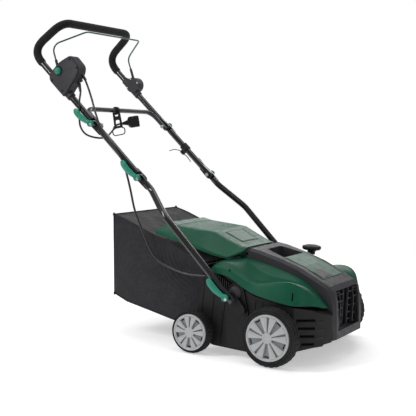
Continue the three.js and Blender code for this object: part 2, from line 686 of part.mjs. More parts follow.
function switchBox() {
  const full = handlePlate(BOX_ORIGIN, roundedOutline(boxCorners, 12), BOX.outer + 4, BOX.inner);
  const centre = [34, 44];
  const shrunk = boxCorners.map((corner) => corner.map((value, i) => centre[i] + (value - centre[i]) * 0.92));
  const face = handlePlate(BOX_ORIGIN, roundedOutline(shrunk, 11), BOX.outer, BOX.outer + 5);
  const spot = (a, n, y) => at(onHandle(BOX_ORIGIN, a, n), y);
  const collar = bar(spot(-28, 0, -UPPER_Y), spot(-10, 0, -UPPER_Y), 15, 16);
  const gland = bar(spot(-1, 66, -216), spot(-16, 60, -216), 8, 12);
  const cordHole = bar(spot(0, 66.5, -216), spot(-30, 54.5, -216), 5.3, 10);
  const cableHole = bar(spot(7, 80.4, -213), spot(-30, 75.2, -213), 4.6, 10);
  const lockHole = crossPin(LOCK, BOX.outer - 1, -232, 12 + GAP, 20);
  const holes = [...bailSlots(-1, -233, -215), lockHole, cordHole, cableHole];
  return cut(join(full, face, collar, gland), ...holes);
}

const lockButton = () => turned(
  [[0, -238], [12, -238], [12, -247], [10.5, -252], [6, -256], [0, -257.5]],
  LOCK,
  20,
);

function bailHolder() {
  const disc = crossPin(BAIL_PIVOT, 204, 240, 28, 28);
  const collar = bar(at(onHandle(BOX_ORIGIN, 8), UPPER_Y), at(onHandle(BOX_ORIGIN, 94), UPPER_Y), 14.5, 16);
  const screws = [0.4, 1.9, 3.6].map((angle) => crossPin(
    [BAIL_PIVOT[0] + 21 * Math.cos(angle), BAIL_PIVOT[1] + 21 * Math.sin(angle)], 202.5, 206, 3, 8));
  return cut(join(disc, collar, ...screws), ...bailSlots(1, 215, 233));
}

function bail() {
  const half = (side) => [
    at(BAIL_PIVOT, side * 224),
    [-455, side * 224, 896],
    [-470, side * 224, 934],
    [-456, side * 221, 953],
    [-378, side * 160, 997],
  ];
  const route = new Route([...half(-1), ...half(1).reverse()], [6, 8, 8, 14, 14, 8, 8, 6], 2);
  const wire = tube(route, 2.8, 0, 3);
  const arms = [-1, 1].map((side) => bar(at(BAIL_PIVOT, side * 224), [-455, side * 224, 896], 3.8, 8));
  const pins = [-1, 1].map((side) => crossPin(BAIL_PIVOT, side * 216, side * 232, 3, 12));
  return join(wire, ...arms, ...pins);
}

// ---------- cords ----------
// Hand-laid routes, in millimetres.
const MOTOR_CABLE = [
  [-356, -213, 855], [-342, -213, 839], [-324, -214, 808], [-302, -220, 768], [-276, -231, 722],
  [-252, -236.9, 682],
  [-222, -236.9, 648], [-190, -236.9, 612], [-158, -236.9, 574], [-138, -236.9, 528], [-122, -236.5, 480],
  [-103, -235, 416], [-70, -230, 346], [-45, -228, 300], [-10, -227, 262], [50, -227, 241],
  [100, -228, 233], [145, -229, 234], [184, -230, 238],
];
const PIGTAIL = [
  [-361, -216, 820], [-349, -222, 793], [-343, -234, 765], [-341, -236.6, 737], [-339, -236.6, 705],
  [-334, -235, 677], [-318, -228, 654], [-294, -212, 644], [-276, -188, 643], [-282, -150, 650],
  [-300, -110, 659], [-320, -68, 668], [-331, -42, 681.5], [-330, -24, 688.5], [-321, -10, 692],
];

function flexible(points, radius, steps) {
  const curve = new THREE.CatmullRomCurve3(points.map(vec), false, 'centripetal');
  return new THREE.ExtrudeGeometry(
    new THREE.Shape().absarc(0, 0, radius, 0, 2 * Math.PI),
    { steps, extrudePath: curve, bevelEnabled: false, curveSegments: 4 },
  );
}

const motorCable = () => toSolid(flexible(MOTOR_CABLE, 3.5, 42));

function pigtailCord() {
  const lead = toSolid(flexible(PIGTAIL, 3.2, 34));
  const relief = bar([-361, -216, 820], [-350, -219.5, 795], 4.6, 10);
  return join(lead, relief);
}

// The plug sits just beyond the cord's end: a neck and a blocky body whose open end shrouds two pins.
function plug() {
  const start = vec(PIGTAIL.at(-1));
  const aim = vec([0.6, 0.79, 0.2]).normalize();
  const turn = new THREE.Quaternion().setFromUnitVectors(new THREE.Vector3(0, 1, 0), aim);
  const [neckLength, length] = [24, 58];
  const neck = new THREE.CylinderGeometry(12, 4.5, neckLength, 12).translate(0, neckLength / 2, 0);
  const body = new THREE.BoxGeometry(30, length - neckLength + 1, 40);
  body.translate(0, (length + neckLength - 1) / 2, 0);
  const recess = new THREE.BoxGeometry(23, 20, 33).translate(0, length - 6, 0);
  const pins = [-6, 6].map((z) => new THREE.BoxGeometry(6.4, 16, 1.6).translate(0, length - 9, z));
  const foot = start.clone().addScaledVector(aim, GAP);
  const posed = (part) => toSolid(part.applyQuaternion(turn).translate(...foot));
  return join(cut(join(posed(neck), posed(body)), posed(recess)), ...pins.map(posed));
}

// The retainer hangs from the crossbar, leaning forward: a ring, a plate with a window and a wire loop.
const LEAN = Math.PI / 15;

function cordRetainer() {
  const [x, z] = onHandle(UPPER_BOLT, 78);
  const y = -24;
  // fore runs across the plate and drop runs down it from the crossbar.
  const hung = ([fore, drop]) => [
    x + fore * Math.cos(LEAN) + drop * Math.sin(LEAN),
    z + fore * Math.sin(LEAN) - drop * Math.cos(LEAN),
  ];
  const ring = crossPin([x, z], y - 6, y + 6, 13, 20);
  const body = sidePlate([[-15, 4], [-15, 63], [18, 63], [14, 4]].map(hung), y - 2.5, y + 2.5);
  const windowLine = [[-7, 34], [-9, 38], [-9, 55], [10, 55], [10, 38], [8, 34]];
  const window = sidePlate(windowLine.map(hung), y - 4, y + 4);
  const slot = sidePlate([[-9, 15], [-7, 21], [6, 21], [9, 15]].map(hung), y - 4, y + 4);
  const barHole = crossPin([x, z], y - 30, y + 30, CROSSBAR + GAP, 12);
  const corners = [[-10, 61], [-27, 67], [-25, 87], [25, 87], [27, 67], [12, 61]];
  const loopRoute = new Route(corners.map((corner) => at(hung(corner), y)), [7, 10, 10, 7], 3);
  return join(cut(join(ring, body), window, slot, barHole), tube(loopRoute, 2, 0, 3));
}

function cableClip() {
  const centre = [-196, 612];
  const tubeLine = (a, n = 0) => at(onHandle(centre, a, n), UPPER_Y);
  const ring = bar(tubeLine(-13), tubeLine(13), 14.5, 16);
  const bore = bar(tubeLine(-20), tubeLine(20), TUBE + 2 * GAP, 14);
  const pad = handlePlate(centre, [[-12, -24], [4, -24], [4, -12], [-12, -12]], 214, 226);
  const arms = [
    tube(new Route([[-210, 218, 600], [-238, 214, 605], [-258, 210, 598]], 8, 3), 1.6, 0, 3),
    tube(new Route([[-206, 224, 590], [-192, 228, 582], [-176, 230, 562]], 8, 3), 1.6, 0, 3),
  ];
  return cut(join(ring, pad, ...arms), bore);
}

// ---------- build ----------
place('deck_housing', deckHousing(), BLACK_PLASTIC);
place('belt_cover', beltCover(), BLACK_PLASTIC);
place('shaft_dome', shaftDome(), GREY_PLASTIC);
place('top_cover', topCover(), GREEN_PLASTIC);
place('nose_arch', noseArch(), GREY_PLASTIC);
place('centre_panel', centrePanel(), GREEN_PLASTIC);
place('front_grille', frontGrille(), BLACK_PLASTIC);
place('motor_body', motorBody(), BLACK_STEEL);
place('motor_shaft', motorShaft(), BARE_STEEL);
place('drive_belt', driveBelt(), CORD_RUBBER);
place('rotor_pulley', rotorPulley(), BARE_STEEL);
place('tine_shaft', tineShaft(), BARE_STEEL);
place('tine_carrier', tineCarrier(), BARE_STEEL);
place('front_axle', frontAxle(), BARE_STEEL);
place('rear_axle', rearAxle(), BARE_STEEL);
place('depth_lever', depthLever(), BLACK_STEEL);
place('depth_knob', depthKnob(), BLACK_PLASTIC);
place('rear_flap', rearFlap(), GREEN_PLASTIC);
place('flap_hinge_rod', flapHingeRod(), BARE_STEEL);
place('bag_fabric', bagFabric(), BAG_CLOTH);
place('bag_frame', bagFrame(), BLACK_STEEL);
place('upper_handle', upperHandle(), BLACK_STEEL);
place('foam_grip', foamGrip(), FOAM_RUBBER);
place('crossbar', crossbar(), GREY_PLASTIC);
place('switch_box', switchBox(), GREY_PLASTIC);
place('lock_button', lockButton(), GREEN_LEVER);
place('bail_pivot_holder', bailHolder(), GREY_PLASTIC);
place('bail', bail(), GREEN_LEVER);
place('motor_cable', motorCable(), CORD_RUBBER);
place('pigtail_cord', pigtailCord(), CORD_RUBBER);
place('plug', plug(), BLACK_PLASTIC);
place('cord_retainer', cordRetainer(), BLACK_PLASTIC);
place('cable_clip', cableClip(), BLACK_PLASTIC);

for (const [name, side] of [['right', -1], ['left', 1]]) {
  place(`rotor_bearing_${name}`, rotorBearing(side), BARE_STEEL);
  place(`front_tyre_${name}`, tyre(FRONT, side), TYRE_RUBBER);
  place(`front_wheel_disc_${name}`, wheelDisc(FRONT, side), SILVER_PLASTIC);
  place(`rear_tyre_${name}`, tyre(REAR, side), TYRE_RUBBER);
  place(`rear_wheel_disc_${name}`, wheelDisc(REAR, side), SILVER_PLASTIC);
  place(`deck_bracket_${name}`, deckBracket(side), BLACK_STEEL);
  place(`lower_tube_${name}`, lowerTube(side), BLACK_STEEL);
  place(`middle_tube_${name}`, middleTube(side), BLACK_STEEL);
  place(`upper_bolt_${name}`, foldBolt(UPPER_BOLT, side, 194, UPPER_Y + TUBE + 4), BARE_STEEL);
  place(`middle_bolt_${name}`, foldBolt(MIDDLE_BOLT, side, 208, UPPER_Y + TUBE + 4), BARE_STEEL);
  place(`upper_cam_lever_${name}`, camLever(UPPER_BOLT, side, UPPER_Y, 0.14), GREEN_LEVER);
  place(`middle_cam_lever_${name}`, camLever(MIDDLE_BOLT, side, UPPER_Y, 0.04), GREEN_LEVER);
  place(`deck_cam_lever_${name}`, camLever(DECK_BOLT, side, LOWER_Y, 0.06), GREEN_LEVER);
}

export default machine;
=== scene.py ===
import json
import math

import bmesh
import bpy
from mathutils import Matrix, Vector, noise
from mathutils.bvhtree import BVHTree


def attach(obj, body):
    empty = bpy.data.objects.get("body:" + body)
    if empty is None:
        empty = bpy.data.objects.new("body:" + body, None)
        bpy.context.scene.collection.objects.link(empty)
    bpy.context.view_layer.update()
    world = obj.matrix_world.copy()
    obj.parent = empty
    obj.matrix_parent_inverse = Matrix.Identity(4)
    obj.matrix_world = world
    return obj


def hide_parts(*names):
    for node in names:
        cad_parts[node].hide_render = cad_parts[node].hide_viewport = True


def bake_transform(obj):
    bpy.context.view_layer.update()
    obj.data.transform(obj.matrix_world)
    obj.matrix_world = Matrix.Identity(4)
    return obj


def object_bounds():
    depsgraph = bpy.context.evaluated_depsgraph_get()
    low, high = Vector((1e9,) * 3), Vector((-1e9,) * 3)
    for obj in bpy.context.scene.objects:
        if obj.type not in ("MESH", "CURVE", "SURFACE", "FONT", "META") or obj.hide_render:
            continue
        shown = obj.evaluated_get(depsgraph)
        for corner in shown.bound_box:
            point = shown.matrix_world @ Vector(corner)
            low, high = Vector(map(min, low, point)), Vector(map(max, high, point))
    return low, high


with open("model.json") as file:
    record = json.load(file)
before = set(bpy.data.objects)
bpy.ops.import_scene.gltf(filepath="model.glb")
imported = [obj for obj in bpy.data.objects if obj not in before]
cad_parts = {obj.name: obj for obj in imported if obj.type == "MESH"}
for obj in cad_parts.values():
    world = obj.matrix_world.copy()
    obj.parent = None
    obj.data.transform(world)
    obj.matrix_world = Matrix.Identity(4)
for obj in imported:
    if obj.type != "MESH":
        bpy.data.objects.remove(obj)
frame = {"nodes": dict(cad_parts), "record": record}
cad_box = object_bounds()

# ---------- driving dimensions ----------
UPPER_BOLT = Vector((-0.282, 0, 0.686))     # fold axes, in the middle plane
MIDDLE_BOLT = Vector((-0.090, 0, 0.521))
DECK_BOLT = Vector((0.277, 0, 0.186))
BAIL_PIVOT = Vector((-0.432, 0, 0.836))
UP = (UPPER_BOLT - MIDDLE_BOLT).normalized()      # along the handle tubes
SIDEWAYS = Vector((0, 1, 0))
ACROSS = SIDEWAYS.cross(UP)                       # square to the tubes, up and forward
BOX_ORIGIN = UPPER_BOLT + UP * ((-0.405 - UPPER_BOLT.x) / UP.x)
TUBE = 0.011
TUBE_Y = 0.222                # upper and middle tubes, from the middle plane
LOWER_Y = 0.273               # lower tubes, below their flare
FOAM = 0.014
GRIP_TOP = Vector((-0.450, 0.202, cad_box[1].z - FOAM))
GRIP_BEND = UPPER_BOLT + UP * 0.370
CROSSBAR = 0.008
SIDES = (("right", -1), ("left", 1))

# ---------- camera ----------
CAMERA_PLACE = Vector((1.5655, -2.7317, 0.7286))
CAMERA_AZIMUTH = math.radians(29.248)
CAMERA_PITCH = math.radians(5.574)
CAMERA_ROLL = math.radians(2.745)
LENS = 80.37                  # millimetres, on a 36 mm sensor


def add_camera():
    along = Vector((-math.sin(CAMERA_AZIMUTH), math.cos(CAMERA_AZIMUTH), 0)) * math.cos(CAMERA_PITCH)
    along.z = -math.sin(CAMERA_PITCH)
    right = Vector((math.cos(CAMERA_AZIMUTH), math.sin(CAMERA_AZIMUTH), 0))
    top = right.cross(along)
    turned_right = right * math.cos(CAMERA_ROLL) + top * math.sin(CAMERA_ROLL)
    turned_top = top * math.cos(CAMERA_ROLL) - right * math.sin(CAMERA_ROLL)
    data = bpy.data.cameras.new("camera")
    data.lens = LENS
    data.sensor_width = 36
    camera = bpy.data.objects.new("camera", data)
    camera.matrix_world = Matrix.Translation(CAMERA_PLACE) @ Matrix(
        (turned_right, turned_top, -along)).transposed().to_4x4()
    bpy.context.scene.collection.objects.link(camera)
    bpy.context.scene.camera = camera


# ---------- materials ----------
class Finish:
    """A Principled material with its textures laid in object space."""

    def __init__(self, name, color, roughness, metallic=0.0):
        self.material = bpy.data.materials.new(name)
        self.material.use_nodes = True
        self.material.diffuse_color = (*color, 1)
        self.tree = self.material.node_tree
        self.shader = self.tree.nodes["Principled BSDF"]
        self.color = color
        self.roughness = roughness
        self.shader.inputs["Base Color"].default_value = (*color, 1)
        self.shader.inputs["Roughness"].default_value = roughness
        self.shader.inputs["Metallic"].default_value = metallic
        self.place = self.tree.nodes.new("ShaderNodeTexCoord").outputs["Object"]
        self.height = None

    def link(self, source, target):
        self.tree.links.new(source, target)

    def mapped(self, stretch):
        mapping = self.tree.nodes.new("ShaderNodeMapping")
        mapping.inputs["Scale"].default_value = stretch
        self.link(self.place, mapping.inputs["Vector"])
        return mapping.outputs["Vector"]

    def noise(self, scale, detail=2.0, stretch=(1, 1, 1)):
        texture = self.tree.nodes.new("ShaderNodeTexNoise")
        texture.inputs["Scale"].default_value = scale
        texture.inputs["Detail"].default_value = detail
        self.link(self.mapped(stretch), texture.inputs["Vector"])
        return texture.outputs["Fac"]

    def cells(self, scale):
        texture = self.tree.nodes.new("ShaderNodeTexVoronoi")
        texture.inputs["Scale"].default_value = scale
        self.link(self.place, texture.inputs["Vector"])
        return texture.outputs["Distance"]

    def threads(self, direction, scale):
        texture = self.tree.nodes.new("ShaderNodeTexWave")
        texture.bands_direction = direction
        texture.inputs["Scale"].default_value = scale
        texture.inputs["Distortion"].default_value = 0.6
        self.link(self.place, texture.inputs["Vector"])
        return texture.outputs["Fac"]

    def combined(self, first, second, operation):
        node = self.tree.nodes.new("ShaderNodeMath")
        node.operation = operation
        self.link(first, node.inputs[0])
        self.link(second, node.inputs[1])
        return node.outputs["Value"]

    def ranged(self, source, low, high, start=0.3, end=0.7):
        node = self.tree.nodes.new("ShaderNodeMapRange")
        node.inputs["From Min"].default_value = start
        node.inputs["From Max"].default_value = end
        node.inputs["To Min"].default_value = low
        node.inputs["To Max"].default_value = high
        self.link(source, node.inputs["Value"])
        return node.outputs["Result"]

    def tint(self, source, darker, lighter):
        """Colour running from darker to lighter times the base, as source goes from 0.3 to 0.7."""
        ramp = self.tree.nodes.new("ShaderNodeValToRGB")
        ramp.color_ramp.elements[0].position = 0.3
        ramp.color_ramp.elements[1].position = 0.7
        ramp.color_ramp.elements[0].color = (*(c * darker for c in self.color), 1)
        ramp.color_ramp.elements[1].color = (*(min(c * lighter, 1) for c in self.color), 1)
        self.link(source, ramp.inputs["Fac"])
        self.link(ramp.outputs["Color"], self.shader.inputs["Base Color"])

    def rough(self, source, spread):
        low, high = self.roughness - spread, self.roughness + spread
        self.link(self.ranged(source, low, high), self.shader.inputs["Roughness"])

    def bump(self, source, depth, strength=1.0):
        node = self.tree.nodes.new("ShaderNodeBump")
        node.inputs["Strength"].default_value = strength
        node.inputs["Distance"].default_value = depth
        self.link(source, node.inputs["Height"])
        if self.height is not None:
            self.link(self.height, node.inputs["Normal"])
        self.height = node.outputs["Normal"]
        self.link(self.height, self.shader.inputs["Normal"])

    def gloss(self, **sockets):
        for name, value in sockets.items():
            self.shader.inputs[name.replace("_", " ")].default_value = value


def moulded(name, color, roughness, grain):
    """Injection-moulded plastic: a fine spark-eroded grain, slow colour drift and faint handling marks."""
    finish = Finish(name, color, roughness)
    finish.tint(finish.noise(9, 3), 0.9, 1.1)
    finish.rough(finish.noise(60, 4), 0.07)
    finish.bump(finish.noise(1400, 2), grain, 0.5)
    finish.gloss(Specular_IOR_Level=0.25)
    return finish


def glossy_green():
    finish = moulded("green_plastic", (0.0050, 0.080, 0.042), 0.40, 0.00006)
    finish.gloss(Specular_IOR_Level=0.16)
    return finish


def powder_coat(name, color, roughness):
    """Painted steel tube: orange peel under a clear gloss."""
    finish = Finish(name, color, roughness)
    finish.tint(finish.noise(25, 2), 0.85, 1.2)
    finish.rough(finish.noise(120, 3), 0.04)
    finish.bump(finish.noise(450, 2), 0.000008, 0.3)
    finish.gloss(Coat_Weight=0.5, Coat_Roughness=0.06, Specular_IOR_Level=0.4)
    return finish


def zinc_steel():
    finish = Finish("bare_steel", (0.52, 0.53, 0.55), 0.34, 1.0)
    finish.tint(finish.noise(35, 4), 0.8, 1.1)
    finish.rough(finish.noise(260, 3, (1, 9, 1)), 0.09)
    finish.bump(finish.noise(900, 2, (1, 12, 1)), 0.00006, 0.6)
    return finish


def silver_plastic():
    finish = Finish("silver_plastic", (0.38, 0.385, 0.39), 0.42, 0.15)
    finish.tint(finish.noise(700, 2), 0.9, 1.08)
    finish.rough(finish.noise(50, 3), 0.06)
    finish.bump(finish.noise(1800, 2), 0.00003, 0.5)
    return finish


def tyre_rubber():
    finish = Finish("tyre_rubber", (0.0105, 0.0105, 0.011), 0.78)
    finish.gloss(Specular_IOR_Level=0.25)
    finish.tint(finish.noise(22, 4), 0.7, 1.5)
    finish.rough(finish.noise(90, 3), 0.08)
    finish.bump(finish.noise(800, 3), 0.00015, 0.6)
    return finish


def cord_rubber():
    finish = Finish("cord_rubber", (0.012, 0.012, 0.013), 0.32)
    finish.tint(finish.noise(40, 3), 0.8, 1.3)
    finish.bump(finish.noise(900, 2), 0.0001, 0.4)
    return finish


def foam_rubber():
    finish = Finish("foam_rubber", (0.0085, 0.0085, 0.009), 0.9)
    finish.tint(finish.cells(420), 0.5, 1.7)
    finish.bump(finish.cells(900), 0.0004, 0.8)
    finish.bump(finish.noise(90, 3), 0.0006, 0.4)
    finish.gloss(Sheen_Weight=0.08, Specular_IOR_Level=0.2)
    return finish


def bag_cloth():
    """Plain-woven polyester: warp and weft ridges, with lighter threads streaking down the panels."""
    finish = Finish("bag_cloth", (0.0125, 0.012, 0.0145), 0.72)
    warp = finish.threads("X", 170)
    weft = finish.threads("Z", 170)
    across = finish.threads("Y", 170)
    weave = finish.combined(finish.combined(warp, weft, "ADD"), across, "ADD")
    streaks = finish.noise(1.0, 3, (260, 260, 9))
    shade = finish.combined(
        finish.ranged(weave, 0.32, 0.5, 0.6, 2.4), finish.ranged(streaks, 0.0, 0.2), "ADD")
    finish.tint(shade, 0.6, 1.75)
    finish.rough(finish.noise(30, 3), 0.06)
    finish.bump(weave, 0.0004, 0.5)
    finish.bump(streaks, 0.0005, 0.4)
    finish.gloss(Sheen_Weight=0.12, Sheen_Roughness=0.4, Specular_IOR_Level=0.3)
    return finish


def flap_window():
    finish = Finish("flap_window", (0.022, 0.084, 0.062), 0.46)
    finish.tint(finish.noise(18, 3), 0.85, 1.15)
    finish.bump(finish.noise(500, 2), 0.00008, 0.4)
    return finish


# Painted shade: a near-black laid into holes, slots, grooves and behind the grille, where only shadow is
# seen.
def painted_recess_shade():
    finish = Finish("painted_recess_shade", (0.003, 0.003, 0.003), 0.95)
    finish.gloss(Specular_IOR_Level=0.05)
    finish.tint(finish.noise(80, 2), 0.6, 1.2)
    return finish


# Each record slot's finish. The last four have no slot of their own.
FINISHES = {
    "black_plastic": moulded("black_plastic", (0.0085, 0.0085, 0.0088), 0.55, 0.00012),
    "grey_plastic": moulded("grey_plastic", (0.034, 0.032, 0.037), 0.52, 0.00012),
    "green_plastic": glossy_green(),
    "green_lever": moulded("green_lever", (0.024, 0.235, 0.160), 0.36, 0.00005),
    "green_wire": powder_coat("green_wire", (0.008, 0.066, 0.052), 0.35),
    "black_steel": powder_coat("black_steel", (0.0035, 0.0035, 0.004), 0.2),
    "grey_steel": powder_coat("grey_steel", (0.011, 0.009, 0.017), 0.42),
    "motor_steel": powder_coat("motor_steel", (0.03, 0.03, 0.03), 0.4),
    "bare_steel": zinc_steel(),
    "silver_plastic": silver_plastic(),
    "tyre_rubber": tyre_rubber(),
    "cord_rubber": cord_rubber(),
    "foam_rubber": foam_rubber(),
    "bag_cloth": bag_cloth(),
    "flap_window": flap_window(),
    "painted_recess_shade": painted_recess_shade(),
    "shadow_silver": moulded("shadow_silver", (0.20, 0.205, 0.21), 0.5, 0.0001),
    "badge_grey": moulded("badge_grey", (0.060, 0.052, 0.060), 0.5, 0.00008),
}
SLOT_OF = {part["node"]: part["material_slot"] for part in frame["record"]["subparts"]}
BODY_OF = {
    node: body for body, nodes in frame["record"]["behaviour"]["bodies"].items() for node in nodes
}


# ---------- building pieces ----------
def finished(name, mesh, slot, body=None, nodes=(), bevel=0.0, segments=2, thickness=0.0, smooth=0):
    """smooth is the number of subdivisions, and a piece without any keeps its corners sharp."""
    piece = bpy.data.objects.new(name, mesh)
    bpy.context.scene.collection.objects.link(piece)
    mesh.materials.append(FINISHES[slot].material)
    mesh.shade_smooth()
    if smooth:
        subdivision = piece.modifiers.new("smooth", "SUBSURF")
        subdivision.levels = smooth
        subdivision.render_levels = smooth
    else:
        mesh.set_sharp_from_angle(angle=math.radians(35))
    if thickness:
        solid = piece.modifiers.new("thickness", "SOLIDIFY")
        solid.thickness = thickness
        solid.offset = -1
    if bevel:
        rounding = piece.modifiers.new("rounding", "BEVEL")
        rounding.width = bevel
        rounding.segments = segments
        rounding.limit_method = "ANGLE"
        rounding.angle_limit = math.radians(32)
        rounding.harden_normals = True
    if body is not None:
        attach(piece, body)
    if nodes:
        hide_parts(*nodes)
    return piece


def mesh_of(name, shape):
    bmesh.ops.recalc_face_normals(shape, faces=shape.faces)
    mesh = bpy.data.meshes.new(name)
    shape.to_mesh(mesh)
    shape.free()
    return mesh


def dressed(node, bevel=0.0008, segments=2, slot=None):
    """The CAD node's own shape, with its flat faces merged and its edges rounded."""
    shape = bmesh.new()
    shape.from_mesh(frame["nodes"][node].data)
    bmesh.ops.remove_doubles(shape, verts=shape.verts, dist=2e-6)
    bmesh.ops.dissolve_limit(
        shape, angle_limit=math.radians(0.6), verts=shape.verts, edges=shape.edges)
    mesh = mesh_of(node + "_look", shape)
    return finished(node + "_look", mesh, slot or SLOT_OF[node], BODY_OF[node], [node], bevel, segments)


def skin(shape, rings, closed=True, capped=True):
    """Joins rings of points with quads; closed wraps each ring, capped fills the first and last."""
    rows = [[shape.verts.new(point) for point in ring] for ring in rings]
    size = len(rows[0])
    for before, after in zip(rows, rows[1:]):
        for i in range(size if closed else size - 1):
            j = (i + 1) % size
            shape.faces.new((before[i], before[j], after[j], after[i]))
    if closed and capped:
        shape.faces.new(list(reversed(rows[0])))
        shape.faces.new(rows[-1])
    return rows


def surface_of(piece):
    """A piece's finished surface, for laying details on it."""
    return BVHTree.FromObject(piece, bpy.context.evaluated_depsgraph_get())


def dropped(surface, x, y, lift):
    """The point above or below (x, y) on a surface seen from the top, raised by lift."""
    spot, *_ = surface.ray_cast(Vector((x, y, 2.0)), Vector((0, 0, -1)))
    return spot + Vector((0, 0, lift))


def circle(centre, first, second, radius_a, radius_b, sides):
    turns = [2 * math.pi * i / sides for i in range(sides)]
    return [centre + first * (radius_a * math.cos(t)) + second * (radius_b * math.sin(t)) for t in turns]


def rounded_path(corners, reaches, steps=7):
    """Straight runs through the corners, each corner rounded over its reach."""
    path = [corners[0]]
    for i, reach in enumerate(reaches, start=1):
        corner = corners[i]
        start = corner + (corners[i - 1] - corner).normalized() * reach
        end = corner + (corners[i + 1] - corner).normalized() * reach
        for k in range(steps + 1):
            t = k / steps
            path.append(start * (1 - t) ** 2 + corner * (2 * t * (1 - t)) + end * t ** 2)
    path.append(corners[-1])
    return path


def flowing_path(points, steps=8):
    """A Catmull-Rom curve through given points."""
    path = []
    ends = [points[0] * 2 - points[1], *points, points[-1] * 2 - points[-2]]
    for a, b, c, d in zip(ends, ends[1:], ends[2:], ends[3:]):
        for k in range(steps):
            t = k / steps
            path.append(0.5 * (
                b * 2 + (c - a) * t + (a * 2 - b * 5 + c * 4 - d) * t ** 2
                + (b * 3 - a - c * 3 + d) * t ** 3))
    path.append(points[-1])
    return path


def swept(name, path, radius, sides=20, widths=None):
    """A round tube along a path. widths gives each station's scale in the tube's plane and across it."""
    shape = bmesh.new()
    rings = []
    side = None
    for i, point in enumerate(path):
        ahead = (path[min(i + 1, len(path) - 1)] - path[max(i - 1, 0)]).normalized()
        if side is None:
            side = SIDEWAYS if abs(ahead.y) < 0.9 else Vector((0, 0, 1))
        side = (side - ahead * side.dot(ahead)).normalized()
        other = ahead.cross(side)
        scale_a, scale_b = widths(i, len(path)) if widths else (1, 1)
        rings.append(circle(point, side, other, radius * scale_a, radius * scale_b, sides))
    skin(shape, rings)
    return mesh_of(name, shape)


def turned(name, profile, centre, axis=SIDEWAYS, sides=48):
    """A profile of (radius, distance along the axis) pairs, turned about the axis."""
    first = axis.orthogonal().normalized()
    second = axis.cross(first)
    shape = bmesh.new()
    rings = [circle(centre + axis * along, first, second, r, r, sides) for r, along in profile]
    skin(shape, rings, capped=profile[0] != profile[-1])
    bmesh.ops.remove_doubles(shape, verts=shape.verts, dist=1e-6)
    return mesh_of(name, shape)


def sided(profile, side):
    """A turned profile given outwards from the middle plane, for the left (1) or the right (-1)."""
    return [(r, side * along) for r, along in profile]


def slab(shape, centre, length, width, height, along, upward):
    """A box given by its centre, sizes and two directions, added to a shape."""
    beside = upward.cross(along)
    halves = [(-1, -1), (1, -1), (1, 1), (-1, 1)]
    levels = [
        [centre + along * (a * length / 2) + beside * (b * width / 2) + upward * (c * height / 2)
         for a, b in halves]
        for c in (-1, 1)
    ]
    skin(shape, levels)


def layered(shape, spot, first, second, layers, sides):
    """Round layers of (radius, distance to the left of spot), joined and added to a shape."""
    skin(shape, [circle(spot + SIDEWAYS * y, first, second, r, r, sides) for r, y in layers])


def extruded(shape, outline, y, half):
    """An outline of (x, z) points as a block from y - half to y + half, added to a shape."""
    skin(shape, [[Vector((x, y + offset, z)) for x, z in outline] for offset in (-half, half)])


def mirrored_y(point, side):
    return Vector((point.x, point.y * side, point.z))


# ---------- cords ----------
# Routes listed one by one, in metres: the same points as the CAD cords.
MOTOR_CABLE = [Vector(p) for p in (
    (-0.356, -0.213, 0.855), (-0.342, -0.213, 0.839), (-0.324, -0.214, 0.808), (-0.302, -0.220, 0.768),
    (-0.276, -0.231, 0.722), (-0.252, -0.2369, 0.682), (-0.222, -0.2369, 0.648), (-0.190, -0.2369, 0.612),
    (-0.158, -0.2369, 0.574),
    (-0.138, -0.2369, 0.528), (-0.122, -0.2365, 0.480), (-0.103, -0.235, 0.416), (-0.070, -0.230, 0.346),
    (-0.045, -0.228, 0.300), (-0.010, -0.227, 0.262), (0.050, -0.227, 0.241), (0.100, -0.228, 0.233),
    (0.145, -0.229, 0.234), (0.184, -0.230, 0.238),
)]
PIGTAIL = [Vector(p) for p in (
    (-0.361, -0.216, 0.820), (-0.349, -0.222, 0.793), (-0.343, -0.234, 0.765), (-0.341, -0.2366, 0.737),
    (-0.339, -0.2366, 0.705), (-0.334, -0.235, 0.677), (-0.318, -0.228, 0.654), (-0.294, -0.212, 0.644),
    (-0.276, -0.188, 0.643), (-0.282, -0.150, 0.650), (-0.300, -0.110, 0.659), (-0.320, -0.068, 0.668),
    (-0.331, -0.042, 0.6815), (-0.330, -0.024, 0.6885), (-0.321, -0.010, 0.692),
)]
MOTOR_CABLE_RADIUS = 0.0035
PIGTAIL_RADIUS = 0.0032
PLUG_AIM = Vector((0.6, 0.79, 0.2)).normalized()


